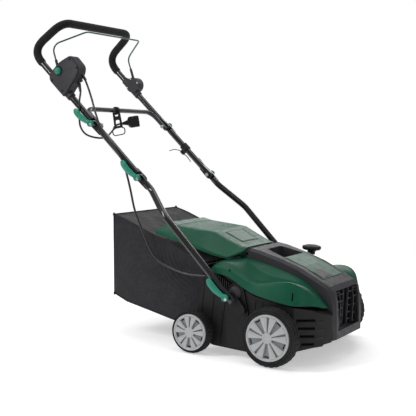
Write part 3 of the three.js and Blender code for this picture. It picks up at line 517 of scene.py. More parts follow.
def plug_piece():
    """A rubber plug: a ribbed neck running into a square body that shrouds two blades."""
    shape = bmesh.new()
    foot = PIGTAIL[-1] + PLUG_AIM * 0.0003
    across = Vector((0, 0, 1)).cross(PLUG_AIM).normalized()
    upward = PLUG_AIM.cross(across)
    sides = 24
    neck = [
        (0.0, 0.0045), (0.0035, 0.0062), (0.0055, 0.0050), (0.009, 0.0075),
        (0.011, 0.0064), (0.0145, 0.0090), (0.0165, 0.0080), (0.021, 0.0112),
    ]
    rings = [circle(foot + PLUG_AIM * d, across, upward, r, r, sides) for d, r in neck]

    def squared(distance, half_wide, half_high):
        points = []
        for i in range(sides):
            turn = 2 * math.pi * i / sides
            a, b = math.cos(turn), math.sin(turn)
            points.append(
                foot + PLUG_AIM * distance
                + across * (half_wide * math.copysign(abs(a) ** 0.35, a))
                + upward * (half_high * math.copysign(abs(b) ** 0.35, b)))
        return points

    body = [
        (0.024, 0.0125, 0.0150), (0.027, 0.0143, 0.0186), (0.030, 0.0149, 0.0198),
        (0.040, 0.0149, 0.0198), (0.041, 0.0142, 0.0190), (0.043, 0.0142, 0.0190),
        (0.044, 0.0149, 0.0198), (0.0575, 0.0149, 0.0198), (0.058, 0.0144, 0.0193),
        (0.058, 0.0117, 0.0167), (0.044, 0.0115, 0.0165),
    ]
    skin(shape, rings + [squared(*station) for station in body])
    for offset in (-0.006, 0.006):
        slab(shape, foot + PLUG_AIM * 0.050 + upward * offset, 0.013, 0.0064, 0.0016, PLUG_AIM, upward)
    return finished("plug_look", mesh_of("plug_look", shape), "black_plastic", "retainer", ["plug"])


def strain_relief(name, foot, aim, radius, body):
    """A tapered, ringed sleeve where a lead leaves the switch box."""
    profile = []
    for i in range(7):
        along = 0.0045 * i
        wide = radius * (2.0 - 0.12 * i)
        narrow = wide * 0.82
        profile += [(wide, along), (wide, along + 0.003)]
        profile += [(narrow, along + 0.0033), (narrow, along + 0.0042)]
    mesh = turned(name, profile, foot, aim, 20)
    return finished(name, mesh, "cord_rubber", body)


def pigtail():
    path = flowing_path(PIGTAIL)
    mesh = swept("supply_lead", path, PIGTAIL_RADIUS, 16)
    lead = finished("supply_lead", mesh, "cord_rubber", None, ["pigtail_cord"])
    plug = plug_piece()
    sleeve = strain_relief(
        "supply_lead_sleeve", PIGTAIL[0], (PIGTAIL[1] - PIGTAIL[0]).normalized(), PIGTAIL_RADIUS,
        "upper_handle_group")
    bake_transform(lead)


def motor_cable():
    """One cable in three lengths."""
    steps = 8
    path = flowing_path(MOTOR_CABLE, steps)
    lengths = [
        ("upper", 0, 7, "upper_handle_group", "middle_handle", 3, 6),
        ("middle", 7, 10, "middle_handle", "lower_handle", 7, 10),
        ("lower", 10, 18, "lower_handle", "deck", 11, 17),
    ]
    for name, first, last, above, below, start, end in lengths:
        piece_name = "motor_cable_" + name
        run = path[first * steps:last * steps + 1]
        nodes = ["motor_cable"] if first == 0 else []
        piece = finished(
            piece_name, swept(piece_name, run, MOTOR_CABLE_RADIUS, 16), "cord_rubber", None, nodes)
        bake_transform(piece)
    aim = (MOTOR_CABLE[1] - MOTOR_CABLE[0]).normalized()
    strain_relief("motor_cable_sleeve", MOTOR_CABLE[0], aim, MOTOR_CABLE_RADIUS, "upper_handle_group")


# ---------- handle ----------
def on_tube(origin, along, across=0.0, y=0.0):
    return origin + UP * along + ACROSS * across + SIDEWAYS * y


def pinched(i, count):
    """Widths of a tube whose last two stations are pressed flat for a bolt."""
    from_end = count - 1 - i
    flat = max(0.0, min(1.0, 1 - (from_end - 1) / 2))
    return 1 - 0.5 * flat, 1 + 0.22 * flat


def spaced(path, gap):
    """The path with stations added so that none are further apart than gap."""
    dense = [path[0]]
    for a, b in zip(path, path[1:]):
        count = max(1, math.ceil((b - a).length / gap))
        dense += [a.lerp(b, k / count) for k in range(1, count + 1)]
    return dense


def grip_path(start):
    ends = [mirrored_y(GRIP_TOP, side) for side in (-1, 1)]
    corners = [
        start + SIDEWAYS * -TUBE_Y, GRIP_BEND + SIDEWAYS * -TUBE_Y, ends[0],
        ends[1], GRIP_BEND + SIDEWAYS * TUBE_Y, start + SIDEWAYS * TUBE_Y,
    ]
    return rounded_path(corners, [0.060, 0.046, 0.046, 0.060], 10)


def lap_plate(shape, origin, y, towards):
    """The pressed end of a tube: a flat tongue with a round nose."""
    rings = []
    for offset in (-0.0042, 0.0042):
        nose = [on_tube(origin, -towards * 0.018 * math.cos(t), 0.0125 * math.sin(t), y + offset)
                for t in [math.pi * (k / 10 - 0.5) for k in range(11)]]
        tail = [on_tube(origin, towards * 0.040, a, y + offset) for a in (0.0105, -0.0105)]
        rings.append(nose + tail)
    skin(shape, rings)


def upper_handle():
    path = spaced(grip_path(on_tube(UPPER_BOLT, 0.022)), 0.02)
    finished("upper_handle_tube", swept("upper_handle_tube", path, TUBE, 24), "black_steel",
             "upper_handle_group", ["upper_handle"])
    shape = bmesh.new()
    for _, side in SIDES:
        lap_plate(shape, UPPER_BOLT, side * (TUBE_Y - 0.0055), 1)
    finished("upper_handle_ends", mesh_of("upper_handle_ends", shape), "black_steel", "upper_handle_group",
             bevel=0.0015)


def foam_grip():
    path = spaced(grip_path(on_tube(GRIP_BEND, -0.067)), 0.012)

    def ends(i, count):
        rolled = 0.86 if i in (0, count - 1) else 1.0
        return rolled, rolled

    piece = finished("foam_sleeve", swept("foam_sleeve", path, FOAM, 28, ends), "foam_rubber",
                     "upper_handle_group", ["foam_grip"])


def straight_tubes():
    for name, side in SIDES:
        y = side * TUBE_Y
        run = spaced([on_tube(UPPER_BOLT, -0.022, y=y), on_tube(MIDDLE_BOLT, 0.022, y=y)], 0.02)
        finished(f"middle_tube_{name}_look", swept("middle_tube", run, TUBE, 24), "black_steel",
                 "middle_handle", [f"middle_tube_{name}"])
        shape = bmesh.new()
        lap_plate(shape, UPPER_BOLT, side * (TUBE_Y + 0.0055), -1)
        lap_plate(shape, MIDDLE_BOLT, side * (TUBE_Y - 0.0055), 1)
        mesh = mesh_of("middle_tube_ends", shape)
        finished(f"middle_tube_ends_{name}", mesh, "black_steel", "middle_handle", bevel=0.0015)


def lower_tubes():
    for name, side in SIDES:
        corners = [
            on_tube(MIDDLE_BOLT, -0.022, y=side * TUBE_Y), Vector((-0.050, side * TUBE_Y, 0.4866)),
            Vector((0.036, side * LOWER_Y, 0.4125)), Vector((0.289, side * LOWER_Y, 0.1747)),
        ]
        path = spaced(rounded_path(corners, [0.014, 0.018], 5), 0.02)
        mesh = swept("lower_tube", path, TUBE, 24, pinched)
        finished(f"lower_tube_{name}_look", mesh, "black_steel", "lower_handle", [f"lower_tube_{name}"])
        shape = bmesh.new()
        lap_plate(shape, MIDDLE_BOLT, side * (TUBE_Y + 0.0055), -1)
        mesh = mesh_of("lower_tube_end", shape)
        finished(f"lower_tube_end_{name}", mesh, "black_steel", "lower_handle", bevel=0.0015)


def crossbar():
    leg = TUBE_Y - TUBE - 0.0003 - CROSSBAR
    low, high = on_tube(UPPER_BOLT, -0.014), on_tube(UPPER_BOLT, 0.078)
    corners = [low + SIDEWAYS * -leg, high + SIDEWAYS * -leg, high + SIDEWAYS * leg, low + SIDEWAYS * leg]
    path = spaced(rounded_path(corners, [0.042, 0.042], 10), 0.02)
    mesh = swept("crossbar", path, CROSSBAR, 24)
    finished("crossbar_look", mesh, "grey_steel", "middle_handle", ["crossbar"])


# The left half of the bail wire's corners, from its arm up to the middle.
BAIL_CORNERS = [
    Vector(p) for p in (
        (-0.4547, 0.224, 0.8952), (-0.470, 0.224, 0.934), (-0.456, 0.221, 0.953), (-0.378, 0.160, 0.997))
]
BAIL_Y = BAIL_CORNERS[0].y


def bail_arm_widths(i, count):
    return 1.15, 1.3 - 0.25 * i / count


def bail():
    """The start bail: a green wire over the grip, on a flat grey arm at each pivot."""
    corners = [mirrored_y(corner, -1) for corner in BAIL_CORNERS] + BAIL_CORNERS[::-1]
    path = rounded_path(corners, [0.016, 0.010, 0.014, 0.014, 0.010, 0.016], 8)
    finished("bail_wire", swept("bail_wire", path, 0.0028, 16), "green_wire", "start_bail", ["bail"])
    for name, side in SIDES:
        pivot = BAIL_PIVOT + SIDEWAYS * (side * BAIL_Y)
        tip = Vector((-0.4555, side * BAIL_Y, 0.8973))
        run = [pivot.lerp(tip, k / 8) for k in range(9)]
        mesh = swept("bail_arm", run, 0.0042, 16, bail_arm_widths)
        finished(f"bail_arm_{name}", mesh, "grey_plastic", "start_bail")


# ---------- cam levers and bolts ----------
def cam_lever(name, node, body, origin, side, hub_y, tilt):
    """A moulded lever: a crowned strip that bows away from the tube, ribbed along its back."""
    length = 0.080
    bow = 0.006

    def spine(t, lift=0.0):
        across = -tilt * length * t - bow * math.sin(math.pi * t) + lift
        return on_tube(origin, 0.006 + length * t, across, hub_y)

    shape = bmesh.new()
    rings = []
    stations = 14
    for i in range(stations + 1):
        t = i / stations
        wide = 0.0065 + 0.0045 * math.sin(math.pi * min(t * 1.1, 1) * 0.62)
        if t > 0.85:
            wide *= 1 - ((t - 0.85) / 0.15) ** 2 * 0.55
        thick = 0.0052 - 0.0012 * t
        rings.append(circle(spine(t), ACROSS, SIDEWAYS, wide, thick, 20))
    skin(shape, rings)
    for i in range(7):
        rib = spine(0.25 + 0.085 * i, 0.003) + SIDEWAYS * (side * 0.0042)
        slab(shape, rib, 0.0022, 0.0022, 0.012, UP, ACROSS)
    finished(name, mesh_of(name, shape), "green_lever", body, [node], bevel=0.0004)
    # The boss stands off-centre along the lever, so that it clears the bolt when the lever is released.
    boss = [
        (0.0, -0.0030), (0.0100, -0.0030), (0.0110, -0.0020), (0.0110, 0.0055), (0.0098, 0.0070),
        (0.0080, 0.0070), (0.0075, 0.0056), (0.0, 0.0056),
    ]
    hub = turned(name + "_hub", sided(boss, side), on_tube(origin, 0.0055, y=hub_y), SIDEWAYS, 40)
    finished(name + "_hub", hub, "green_lever", body)
    hexagon = [(0.0, 0.0052), (0.0050, 0.0052), (0.0050, 0.0072), (0.0, 0.0076)]
    nut = turned(name + "_nut", sided(hexagon, side), origin + SIDEWAYS * hub_y, SIDEWAYS, 6)
    finished(name + "_nut", nut, "bare_steel", body, bevel=0.0003)


def cam_levers():
    upper_hub = TUBE_Y + TUBE + 0.0119
    deck_hub = 0.2921
    for name, side in SIDES:
        for level, origin, hub_y, tilt in (
            ("upper", UPPER_BOLT, upper_hub, 0.14),
            ("middle", MIDDLE_BOLT, upper_hub, 0.04),
            ("deck", DECK_BOLT, deck_hub, 0.06),
        ):
            node = f"{level}_cam_lever_{name}"
            cam_lever(node + "_look", node, f"{level}_cam_{name}", origin, side, side * hub_y, tilt)


# ---------- controls ----------
def switch_box():
    dressed("switch_box", bevel=0.0032, segments=3)
    face_y = -0.2432
    shape = bmesh.new()
    # The screw cups are near-black: painted shade in their bores.
    screw = [(0.0036, 0.0012), (0.0036, -0.0004), (0.0030, -0.0007), (0.0012, 0.0006)]
    for along, across in ((0.004, 0.000), (0.060, -0.004), (0.012, 0.094), (0.054, 0.096)):
        layered(shape, on_tube(BOX_ORIGIN, along, across, face_y), UP, ACROSS, screw, 20)
    finished("switch_box_screws", mesh_of("switch_box_screws", shape), "painted_recess_shade", "upper_handle_group")


def lock_button():
    centre = on_tube(BOX_ORIGIN, 0.062, 0.036)
    radius, rise, shoulder = 0.012, 0.011, -0.2465
    dome = [(0.0, -0.238), (radius, -0.238), (radius, shoulder)]
    for k in range(1, 8):
        turn = math.pi / 2 * k / 8
        dome.append((radius * math.cos(turn), shoulder - rise * math.sin(turn)))
    dome.append((0.0, -0.2575))
    mesh = turned("lock_button", dome, centre)
    finished("lock_button_look", mesh, "green_lever", "safety_button", ["lock_button"])
    ring = [(0.0126, -0.2405), (0.0165, -0.2405), (0.0165, -0.2442), (0.0150, -0.2456), (0.0126, -0.2448)]
    finished("lock_button_ring", turned("lock_button_ring", [*ring, ring[0]], centre), "black_plastic",
             "upper_handle_group")


def bail_holder():
    dressed("bail_pivot_holder", bevel=0.0018)
    shape = bmesh.new()
    screw = [(0.0036, 0.0006), (0.0036, -0.0012), (0.0026, -0.0020), (0.0010, -0.0020)]
    for angle in (0.4, 1.9, 3.6):
        spot = BAIL_PIVOT + Vector((math.cos(angle), 0, math.sin(angle))) * 0.024 + SIDEWAYS * 0.2037
        layered(shape, spot, Vector((1, 0, 0)), Vector((0, 0, 1)), screw, 18)
    finished("holder_screws", mesh_of("holder_screws", shape), "bare_steel", "upper_handle_group")


# ---------- wheels ----------
def tyre(wheel, name, side, body, centre, radius, inner, outer, cap):
    """A rubber tyre: rounded shoulders, ringed sidewalls and slanted tread blocks."""
    groove = (radius + cap) / 2
    depth = radius - cap
    profile = [
        (cap + 0.001, inner), (groove - 0.002, inner), (groove, inner + 0.0012), (groove + 0.002, inner),
        (radius - 0.20 * depth, inner + 0.001), (radius - 0.003, inner + 0.0045), (radius, inner + 0.009),
        (radius, (inner + outer) / 2 - 0.002), (radius - 0.0025, (inner + outer) / 2 - 0.001),
        (radius - 0.0025, (inner + outer) / 2 + 0.001), (radius, (inner + outer) / 2 + 0.002),
        (radius, outer - 0.009), (radius - 0.003, outer - 0.0045), (radius - 0.20 * depth, outer - 0.001),
        (groove + 0.0022, outer), (groove + 0.0008, outer - 0.0016), (groove - 0.0008, outer - 0.0016),
        (groove - 0.0022, outer), (cap + 0.0035, outer), (cap + 0.001, outer - 0.002),
    ]
    sides = 120
    shape = bmesh.new()
    rings = []
    for r, y in [*profile, profile[0]]:
        ring = []
        for i in range(sides):
            slant = 1 if y < (inner + outer) / 2 else -1
            on_tread = r > radius - 0.0031
            cut = 0.0022 if on_tread and (i + slant * round(y * 500)) % 4 == 0 else 0.0
            turn = 2 * math.pi * i / sides
            direction = Vector((math.cos(turn), 0, math.sin(turn)))
            ring.append(centre + direction * (r - cut) + SIDEWAYS * (side * y))
        rings.append(ring)
    skin(shape, rings, capped=False)
    bmesh.ops.remove_doubles(shape, verts=shape.verts, dist=1e-6)
    finished(f"{wheel}_tyre_{name}_look", mesh_of("tyre", shape), "tyre_rubber", body,
             [f"{wheel}_tyre_{name}"], bevel=0.0003, segments=1)


def wheel_cap(wheel, name, side, body, centre, inner, outer, cap):
    """A silver cap: a rolled rim, a sunken dish, ten petal spokes in pairs and a plain hub."""
    outward = SIDEWAYS * side
    rim = cap - 0.0002
    dish = [
        (0.0, inner + 0.004), (rim - 0.006, inner + 0.004), (rim, inner + 0.001), (rim + 0.0005, outer),
        (rim - 0.0008, outer + 0.0026), (rim - 0.003, outer + 0.0036), (rim - 0.0055, outer + 0.0028),
        (rim - 0.0070, outer - 0.0022), (0.012, outer - 0.0005), (0.0, outer - 0.0005),
    ]
    mesh = turned("wheel_dish", sided(dish, side), centre, SIDEWAYS, 72)
    finished(f"{wheel}_wheel_dish_{name}", mesh, "shadow_silver", body, [f"{wheel}_wheel_disc_{name}"])
    ring = [(rim - 0.0078, outer - 0.001), (rim + 0.0008, outer - 0.001), (rim + 0.0008, outer + 0.0022),
            (rim - 0.0012, outer + 0.0042), (rim - 0.0045, outer + 0.0042), (rim - 0.0072, outer + 0.0020)]
    mesh = turned("wheel_rim", sided([*ring, ring[0]], side), centre, SIDEWAYS, 72)
    finished(f"{wheel}_wheel_rim_{name}", mesh, "silver_plastic", body)

    shape = bmesh.new()
    reach = rim - 0.0065
    for i in range(10):
        angle = 2 * math.pi * i / 10 + (-0.06 if i % 2 else 0.06)
        direction = Vector((math.cos(angle), 0, math.sin(angle)))
        beside = outward.cross(direction)
        rings = []
        for t in (0.0, 0.25, 0.5, 0.75, 0.93, 1.0):
            spot = centre + direction * (0.011 + (reach - 0.011) * t) + outward * (outer + 0.0005)
            wide = (0.0026 + (reach * 0.205 - 0.0026) * t) * (1 if t < 1 else 0.94)
            crown = 0.0036 + 0.0012 * math.sin(math.pi * t)
            section = [
                (-1.0, -0.0035), (-0.9, crown * 0.72), (-0.42, crown),
                (0.42, crown), (0.9, crown * 0.72), (1.0, -0.0035),
            ]
            rings.append([spot + beside * (wide * b) + outward * rise for b, rise in section])
        skin(shape, rings)
    finished(f"{wheel}_wheel_spokes_{name}", mesh_of("spokes", shape), "silver_plastic", body, bevel=0.0006)
    hub = [
        (0.0, outer - 0.001), (0.0165, outer - 0.001), (0.0165, outer + 0.0035), (0.0150, outer + 0.0050),
        (0.0105, outer + 0.0052), (0.0098, outer + 0.0046), (0.0, outer + 0.0046),
    ]
    mesh = turned("wheel_hub", sided(hub, side), centre, SIDEWAYS, 48)
    finished(f"{wheel}_wheel_hub_{name}", mesh, "silver_plastic", body)
    # Painted shade: five near-black slabs near the rim stand for the dark inside of the cap's slots.
    shape = bmesh.new()
    for i in range(5):
        angle = 2 * math.pi * (2 * i + 1.5) / 10
        direction = Vector((math.cos(angle), 0, math.sin(angle)))
        spot = centre + direction * (reach * 0.90) + outward * (outer - 0.0016)
        slab(shape, spot, reach * 0.22, 0.0030, 0.0012, outward.cross(direction), outward)
    finished(f"{wheel}_wheel_slot_shades_{name}", mesh_of("slots", shape), "painted_recess_shade", body)


def wheels():
    for name, side in SIDES:
        for wheel, x, radius, inner, outer, cap in (
            ("front", 0.422, 0.090, 0.256, 0.295, 0.0695), ("rear", 0.1575, 0.0665, 0.260, 0.295, 0.0560),
        ):
            centre = Vector((x, 0, radius))
            body = f"{wheel}_wheel_{name}"
            tyre(wheel, name, side, body, centre, radius, inner, outer, cap)
            wheel_cap(wheel, name, side, body, centre, inner, outer, cap)


# ---------- green cover ----------
# Half sections at stations along X: [y, z] from beside the arch out to the lower edge, in millimetres.
COVER_SECTIONS = [
    (192, (118, 273), (160, 276), (214, 274), (238, 266), (243, 254)),
    (204, (118, 282.5), (160, 286), (214, 284), (240, 274), (245, 252)),
    (226, (118, 286.5), (160, 289), (214, 286), (242, 274), (246, 251)),
    (262, (118, 291), (146, 284), (208, 277), (242, 265), (248, 247)),
    (312, (118, 281), (146, 262), (202, 243), (240, 238), (250, 217)),
    (350, (118, 273), (146, 250), (200, 234), (238, 233), (251, 203)),
    (400, (118, 261), (146, 243), (198, 240), (236, 246), (251, 194)),
    (446, (118, 248), (146, 238), (194, 247), (232, 256), (251, 188)),
    (484, (118, 224), (146, 226), (188, 240), (224, 246), (244, 184)),
    (508, (118, 203), (140, 208), (172, 221), (202, 223), (222, 187)),
    (526, (118, 180), (130, 186), (146, 194), (164, 196), (178, 181)),
    (540, (118, 167), (124, 171), (132, 175), (142, 177), (148, 173)),
]


def crease(shape, pairs, weight):
    layer = shape.edges.layers.float.get("crease_edge") or shape.edges.layers.float.new("crease_edge")
    for a, b in pairs:
        edge = shape.edges.get((a, b))
        if edge is not None:
            edge[layer] = weight


def cover_wing(name, side):
    shape = bmesh.new()
    rings = [[Vector((x, side * y, z)) / 1000 for y, z in outline] for x, *outline in COVER_SECTIONS]
    rows = skin(shape, rings, closed=False)
    for before, after in zip(rows, rows[1:]):
        crease(shape, [(before[3], after[3])], 0.95)
        crease(shape, [(before[2], after[2])], 0.8)
        crease(shape, [(before[1], after[1])], 0.85)
        crease(shape, [(before[0], after[0]), (before[4], after[4])], 1.0)
    for ends in (rows[0], rows[-1]):
        crease(shape, zip(ends, ends[1:]), 1.0)
    mesh = mesh_of(name, shape)
    nodes = ["top_cover"] if side < 0 else []
    finished(name, mesh, "green_plastic", "deck", nodes, smooth=3, thickness=0.003, bevel=0.0008)


def top_cover():
    for name, side in SIDES:
        cover_wing(f"cover_wing_{name}", side)
    shape = bmesh.new()
    band = [
        (0.193, 0.266), (0.206, 0.2845), (0.226, 0.2875), (0.246, 0.2905),
        (0.246, 0.2865), (0.226, 0.2838), (0.209, 0.2808), (0.197, 0.265),
    ]
    extruded(shape, band, 0, 0.1185)
    lug = [
        (0.212, 0.284), (0.216, 0.309), (0.2185, 0.3165),
        (0.2255, 0.3165), (0.228, 0.309), (0.232, 0.286),
    ]
    for y in (-0.086, 0.086):
        extruded(shape, lug, y, 0.004)
    finished("cover_rear_band", mesh_of("cover_rear_band", shape), "green_plastic", "deck", bevel=0.0008)
    # Painted shade: a near-black slit for the notch at the front and near-black dots for the pips at the
    # rear.
    marks = bmesh.new()
    forward = Vector((1, 0, 0))
    for _, side in SIDES:
        notch = Vector((0.474, side * 0.2478, 0.213))
        slab(marks, notch, 0.0035, 0.024, 0.002, forward, Vector((0, -side, 0)))
        pips = [Vector((0.258, side * 0.2427, 0.2655 + z)) for z in (0, 0.0012)]
        skin(marks, [circle(pip, forward, Vector((0, 0.35, 0.94)), 0.0028, 0.0028, 16) for pip in pips])
    finished("cover_recess_shades", mesh_of("cover_recess_shades", marks), "painted_recess_shade", "deck")


# ---------- rear flap ----------
# Half sections along X, in millimetres: centre, plateau edge, foot of the slope, and the lip below.
FLAP_SECTIONS = [
    (-44, (0, 377), (116, 376), (198, 355), (199, 345)),
    (-18, (0, 371), (118, 370), (199, 350), (200, 340)),
    (124, (0, 363), (118, 362), (200, 320), (201, 310)),
    (176, (0, 341), (112, 340), (200, 307), (201, 298)),
    (219, (0, 325), (104, 324), (186, 297), (187, 291)),
    (240, (0, 322), (98, 321), (118, 312), (119, 306)),
]


def rear_flap():
    shape = bmesh.new()
    rings = []
    for x, *half in FLAP_SECTIONS:
        left = [Vector((x, y, z)) / 1000 for y, z in half]
        right = [mirrored_y(point, -1) for point in reversed(left[1:])]
        rings.append(right + left)
    rows = skin(shape, rings, closed=False)
    for before, after in zip(rows, rows[1:]):
        crease(shape, [(before[i], after[i]) for i in (0, 6)], 1.0)
        crease(shape, [(before[i], after[i]) for i in (1, 2, 4, 5)], 0.95)
    for row, weight in zip(rows, (1.0, 0.9, 0.95, 0.6, 0.8, 1.0)):
        crease(shape, zip(row, row[1:]), weight)
    shell = finished("flap_shell", mesh_of("flap_shell", shape), "green_plastic", "flap", ["rear_flap"],
                     smooth=3, thickness=0.003, bevel=0.0008)
    lugs = bmesh.new()
    lug = [
        (0.216, 0.3225), (0.216, 0.309), (0.219, 0.306),
        (0.225, 0.306), (0.228, 0.309), (0.228, 0.320),
    ]
    for y in (-0.096, 0.096):
        extruded(lugs, lug, y, 0.004)
    finished("flap_lugs", mesh_of("flap_lugs", lugs), "green_plastic", "flap", bevel=0.0005)
    window_frame(surface_of(shell))


def window_frame(surface):
    """A panel let into the flap's front slope, its thin rim, and the shallow step behind it."""
    rear, front, half_rear, half_front = 0.139, 0.203, 0.060, 0.057
    steps = 8

    def row(x, half, lift):
        return [dropped(surface, x, half * (2 * k / steps - 1), lift) for k in range(steps + 1)]

    pane = bmesh.new()
    rings = []
    for i in range(steps + 1):
        t = i / steps
        rings.append(row(rear + (front - rear) * t, half_rear + (half_front - half_rear) * t, 0.0003))
    skin(pane, rings, closed=False)
    finished("flap_window_pane", mesh_of("flap_window_pane", pane), "flap_window", "flap", thickness=0.0006)
    rims = [row(rear, half_rear, 0.0001), row(front, half_front, 0.0001)]
    outlines = rims + [[ring[end] for ring in rings] for end in (0, -1)]
    for i, line in enumerate(outlines):
        finished(f"flap_window_rim_{i}", swept("flap_window_rim", line, 0.0005, 8), "green_plastic", "flap")
    step = swept("flap_step", row(-0.010, 0.116, 0.0), 0.0011, 8)
    finished("flap_step", step, "green_plastic", "flap")


# ---------- nose ----------
def nose():
    dressed("nose_arch", bevel=0.0030, segments=3)
    dressed("centre_panel", bevel=0.0012)
    dressed("front_grille", bevel=0.0008)
    # Painted shade: a near-black sheet behind the grille stands for the dark inside of the nose.
    shade_sheet = bmesh.new()
    slab(shade_sheet, Vector((0.5404, 0, 0.157)), 0.1190, 0.1740, 0.0006, Vector((0, 0, 1)), Vector((1, 0, 0)))
    finished("grille_shade_sheet", mesh_of("grille_shade_sheet", shade_sheet), "painted_recess_shade", "deck")
    bars = bmesh.new()
    upright, forward = Vector((0, 0, 1)), Vector((1, 0, 0))
    for _, side in SIDES:
        slab(bars, Vector((0.5440, side * 0.020, 0.157)), 0.118, 0.0030, 0.0060, upright, forward)
        for level in range(5):
            rung = Vector((0.5440, side * 0.048, 0.113 + 0.022 * level))
            slab(bars, rung, 0.056, 0.0026, 0.0050, SIDEWAYS, forward)
    finished("grille_bars", mesh_of("grille_bars", bars), "grey_plastic", "deck", bevel=0.0005)
    shape = bmesh.new()
    along = Vector((0.072, 0, -0.033)).normalized()
    upward = along.cross(SIDEWAYS)
    if upward.z < 0:
        upward.negate()
    slab(shape, Vector((0.478, -0.036, 0.2590)), 0.040, 0.076, 0.0014, along, upward)
    finished("blank_badge", mesh_of("blank_badge", shape), "badge_grey", "deck", bevel=0.0004)


# ---------- deck ----------
def deck():
    dressed("deck_housing", bevel=0.0025, segments=3)
    dressed("belt_cover", bevel=0.0020, segments=3)
    dressed("shaft_dome", bevel=0.0010)
    for name, side in SIDES:
        wall_details(name, side)
        louvres(name, side)


def wall_details(name, side):
    """Moulded seams down the side wall and the ribbed intake under the cover's shoulder. The seams and the
    patch behind the ribs are near-black: painted shade in the grooves and under the shoulder.
    """
    wall = side * 0.2402
    outward = Vector((0, side, 0))
    seams = bmesh.new()
    for x_low, x_high, z_low, z_high in (
        (0.163, 0.172, 0.052, 0.230), (0.196, 0.212, 0.040, 0.236), (0.236, 0.252, 0.034, 0.230),
        (0.345, 0.352, 0.060, 0.188), (0.372, 0.376, 0.150, 0.184),
    ):
        low, high = Vector((x_low, wall, z_low)), Vector((x_high, wall, z_high))
        seam = high - low
        slab(seams, (low + high) / 2, seam.length, 0.0014, 0.0008, seam.normalized(), outward)
    # A near-black patch behind the intake's ribs: painted shade under the cover's shoulder.
    falling = Vector((1, 0, -0.5)).normalized()
    slab(seams, Vector((0.2435, wall, 0.2235)), 0.082, 0.030, 0.0010, falling, outward)
    finished(f"deck_seam_shades_{name}", mesh_of("deck_seam_shades", seams), "painted_recess_shade", "deck")
    ribs = bmesh.new()
    for i in range(10):
        centre = Vector((0.212 + 0.0075 * i, wall + side * 0.0008, 0.2385 - 0.0037 * i))
        slab(ribs, centre, 0.024, 0.0022, 0.0028, Vector((0.1, 0, -1)).normalized(), outward)
    finished(f"deck_ribs_{name}", mesh_of("deck_ribs", ribs), "grey_plastic", "deck", bevel=0.0004)


# The two flats of the deck's front corner, from the side wall round to the nose: start and end in plan.
CORNER_FLATS = [((0.480, 0.2382), (0.5285, 0.1933)), ((0.5305, 0.1896), (0.5420, 0.1590))]


def louvres(name, side):
    """Four slots that wrap the deck's front corner, each over a sloping lip, stepped forward going down.
    Each slot is a near-black slab, painted shade.
    """
    lips = bmesh.new()
    slot_shades = bmesh.new()
    for flat, (rear, front) in enumerate(CORNER_FLATS):
        start = Vector((rear[0], side * rear[1], 0))
        end = Vector((front[0], side * front[1], 0))
        along = (end - start).normalized()
        outward = Vector((abs(along.y), side * abs(along.x), 0))
        for level in range(4):
            first = 0.10 + 0.10 * (3 - level) if flat == 0 else 0.0
            height = Vector((0, 0, 0.070 + 0.024 * level))
            centre = start.lerp(end, (first + 1) / 2) + height + outward * 0.0006
            reach = (end - start).length * (1 - first)
            slab(slot_shades, centre, reach, 0.0060, 0.0012, along, outward)
            below = centre - Vector((0, 0, 0.0072)) + outward * 0.0006
            slab(lips, below, reach, 0.0070, 0.0030, along, outward)
    finished(f"louvre_lips_{name}", mesh_of("louvre_lips", lips), "black_plastic", "deck", bevel=0.0012)
    finished(f"louvre_slot_shades_{name}", mesh_of("louvre_slot_shades", slot_shades), "painted_recess_shade", "deck")


def depth_control():
    dressed("depth_lever", bevel=0.0008)
    centre = Vector((0.327, 0.2265, 0.295))
    profile = [
        (0.0, -0.020), (0.0128, -0.020), (0.0132, -0.014), (0.0150, -0.008),
        (0.022, -0.0055), (0.029, -0.0035), (0.032, 0.001), (0.0318, 0.0055),
        (0.030, 0.0085), (0.020, 0.0118), (0.009, 0.0128), (0.0, 0.013),
    ]
    upward = Vector((0, 0, 1))
    shape = bmesh.new()
    sides = 72
    rings = []
    for r, along in profile:
        ring = []
        for i in range(sides):
            turn = 2 * math.pi * i / sides
            scallop = 0.0008 * math.cos(18 * turn) if r > 0.028 else 0.0
            direction = Vector((math.cos(turn), math.sin(turn), 0))
            ring.append(centre + upward * along + direction * max(r - scallop, 0))
        rings.append(ring)
    skin(shape, rings)
    finished("depth_knob_look", mesh_of("depth_knob", shape), "black_plastic", "depth_axle", ["depth_knob"])


def plain_nodes():
    """Nodes whose CAD shape is right as it is, with rounded edges and their finish."""
    for node, bevel in (
        ("motor_body", 0.002), ("motor_shaft", 0.0004), ("drive_belt", 0.0006), ("rotor_pulley", 0.0008),
        ("tine_shaft", 0.0004), ("tine_carrier", 0.0), ("front_axle", 0.0004), ("rear_axle", 0.0004),
        ("flap_hinge_rod", 0.0003), ("bag_frame", 0.0), ("cord_retainer", 0.0006), ("cable_clip", 0.0004),
    ):
        dressed(node, bevel)
    for name, _ in SIDES:
        for stem in ("rotor_bearing", "upper_bolt", "middle_bolt"):
            dressed(f"{stem}_{name}", 0.0005)
        dressed(f"deck_bracket_{name}", 0.0006, slot="black_plastic")


# ---------- grass bag ----------
BAG_HALF = 0.1975
BAG_FRONT = 0.146
GATHERS = Vector((0.145, 0, 0.330))       # the gathers are arcs round this point, behind the flap's hinge
BAG_TOP = [(-0.211, 0.392), (-0.164, 0.380), (-0.060, 0.343), (0.146, 0.271)]
BAG_BOTTOM = [(-0.196, 0.128), (-0.145, 0.108), (-0.053, 0.091), (0.040, 0.073), (0.146, 0.065)]


def height_at(line, x):
    for (x0, z0), (x1, z1) in zip(line, line[1:]):
        if x <= x1:
            return z0 + (z1 - z0) * max(0.0, (x - x0) / (x1 - x0))
    return line[-1][1]


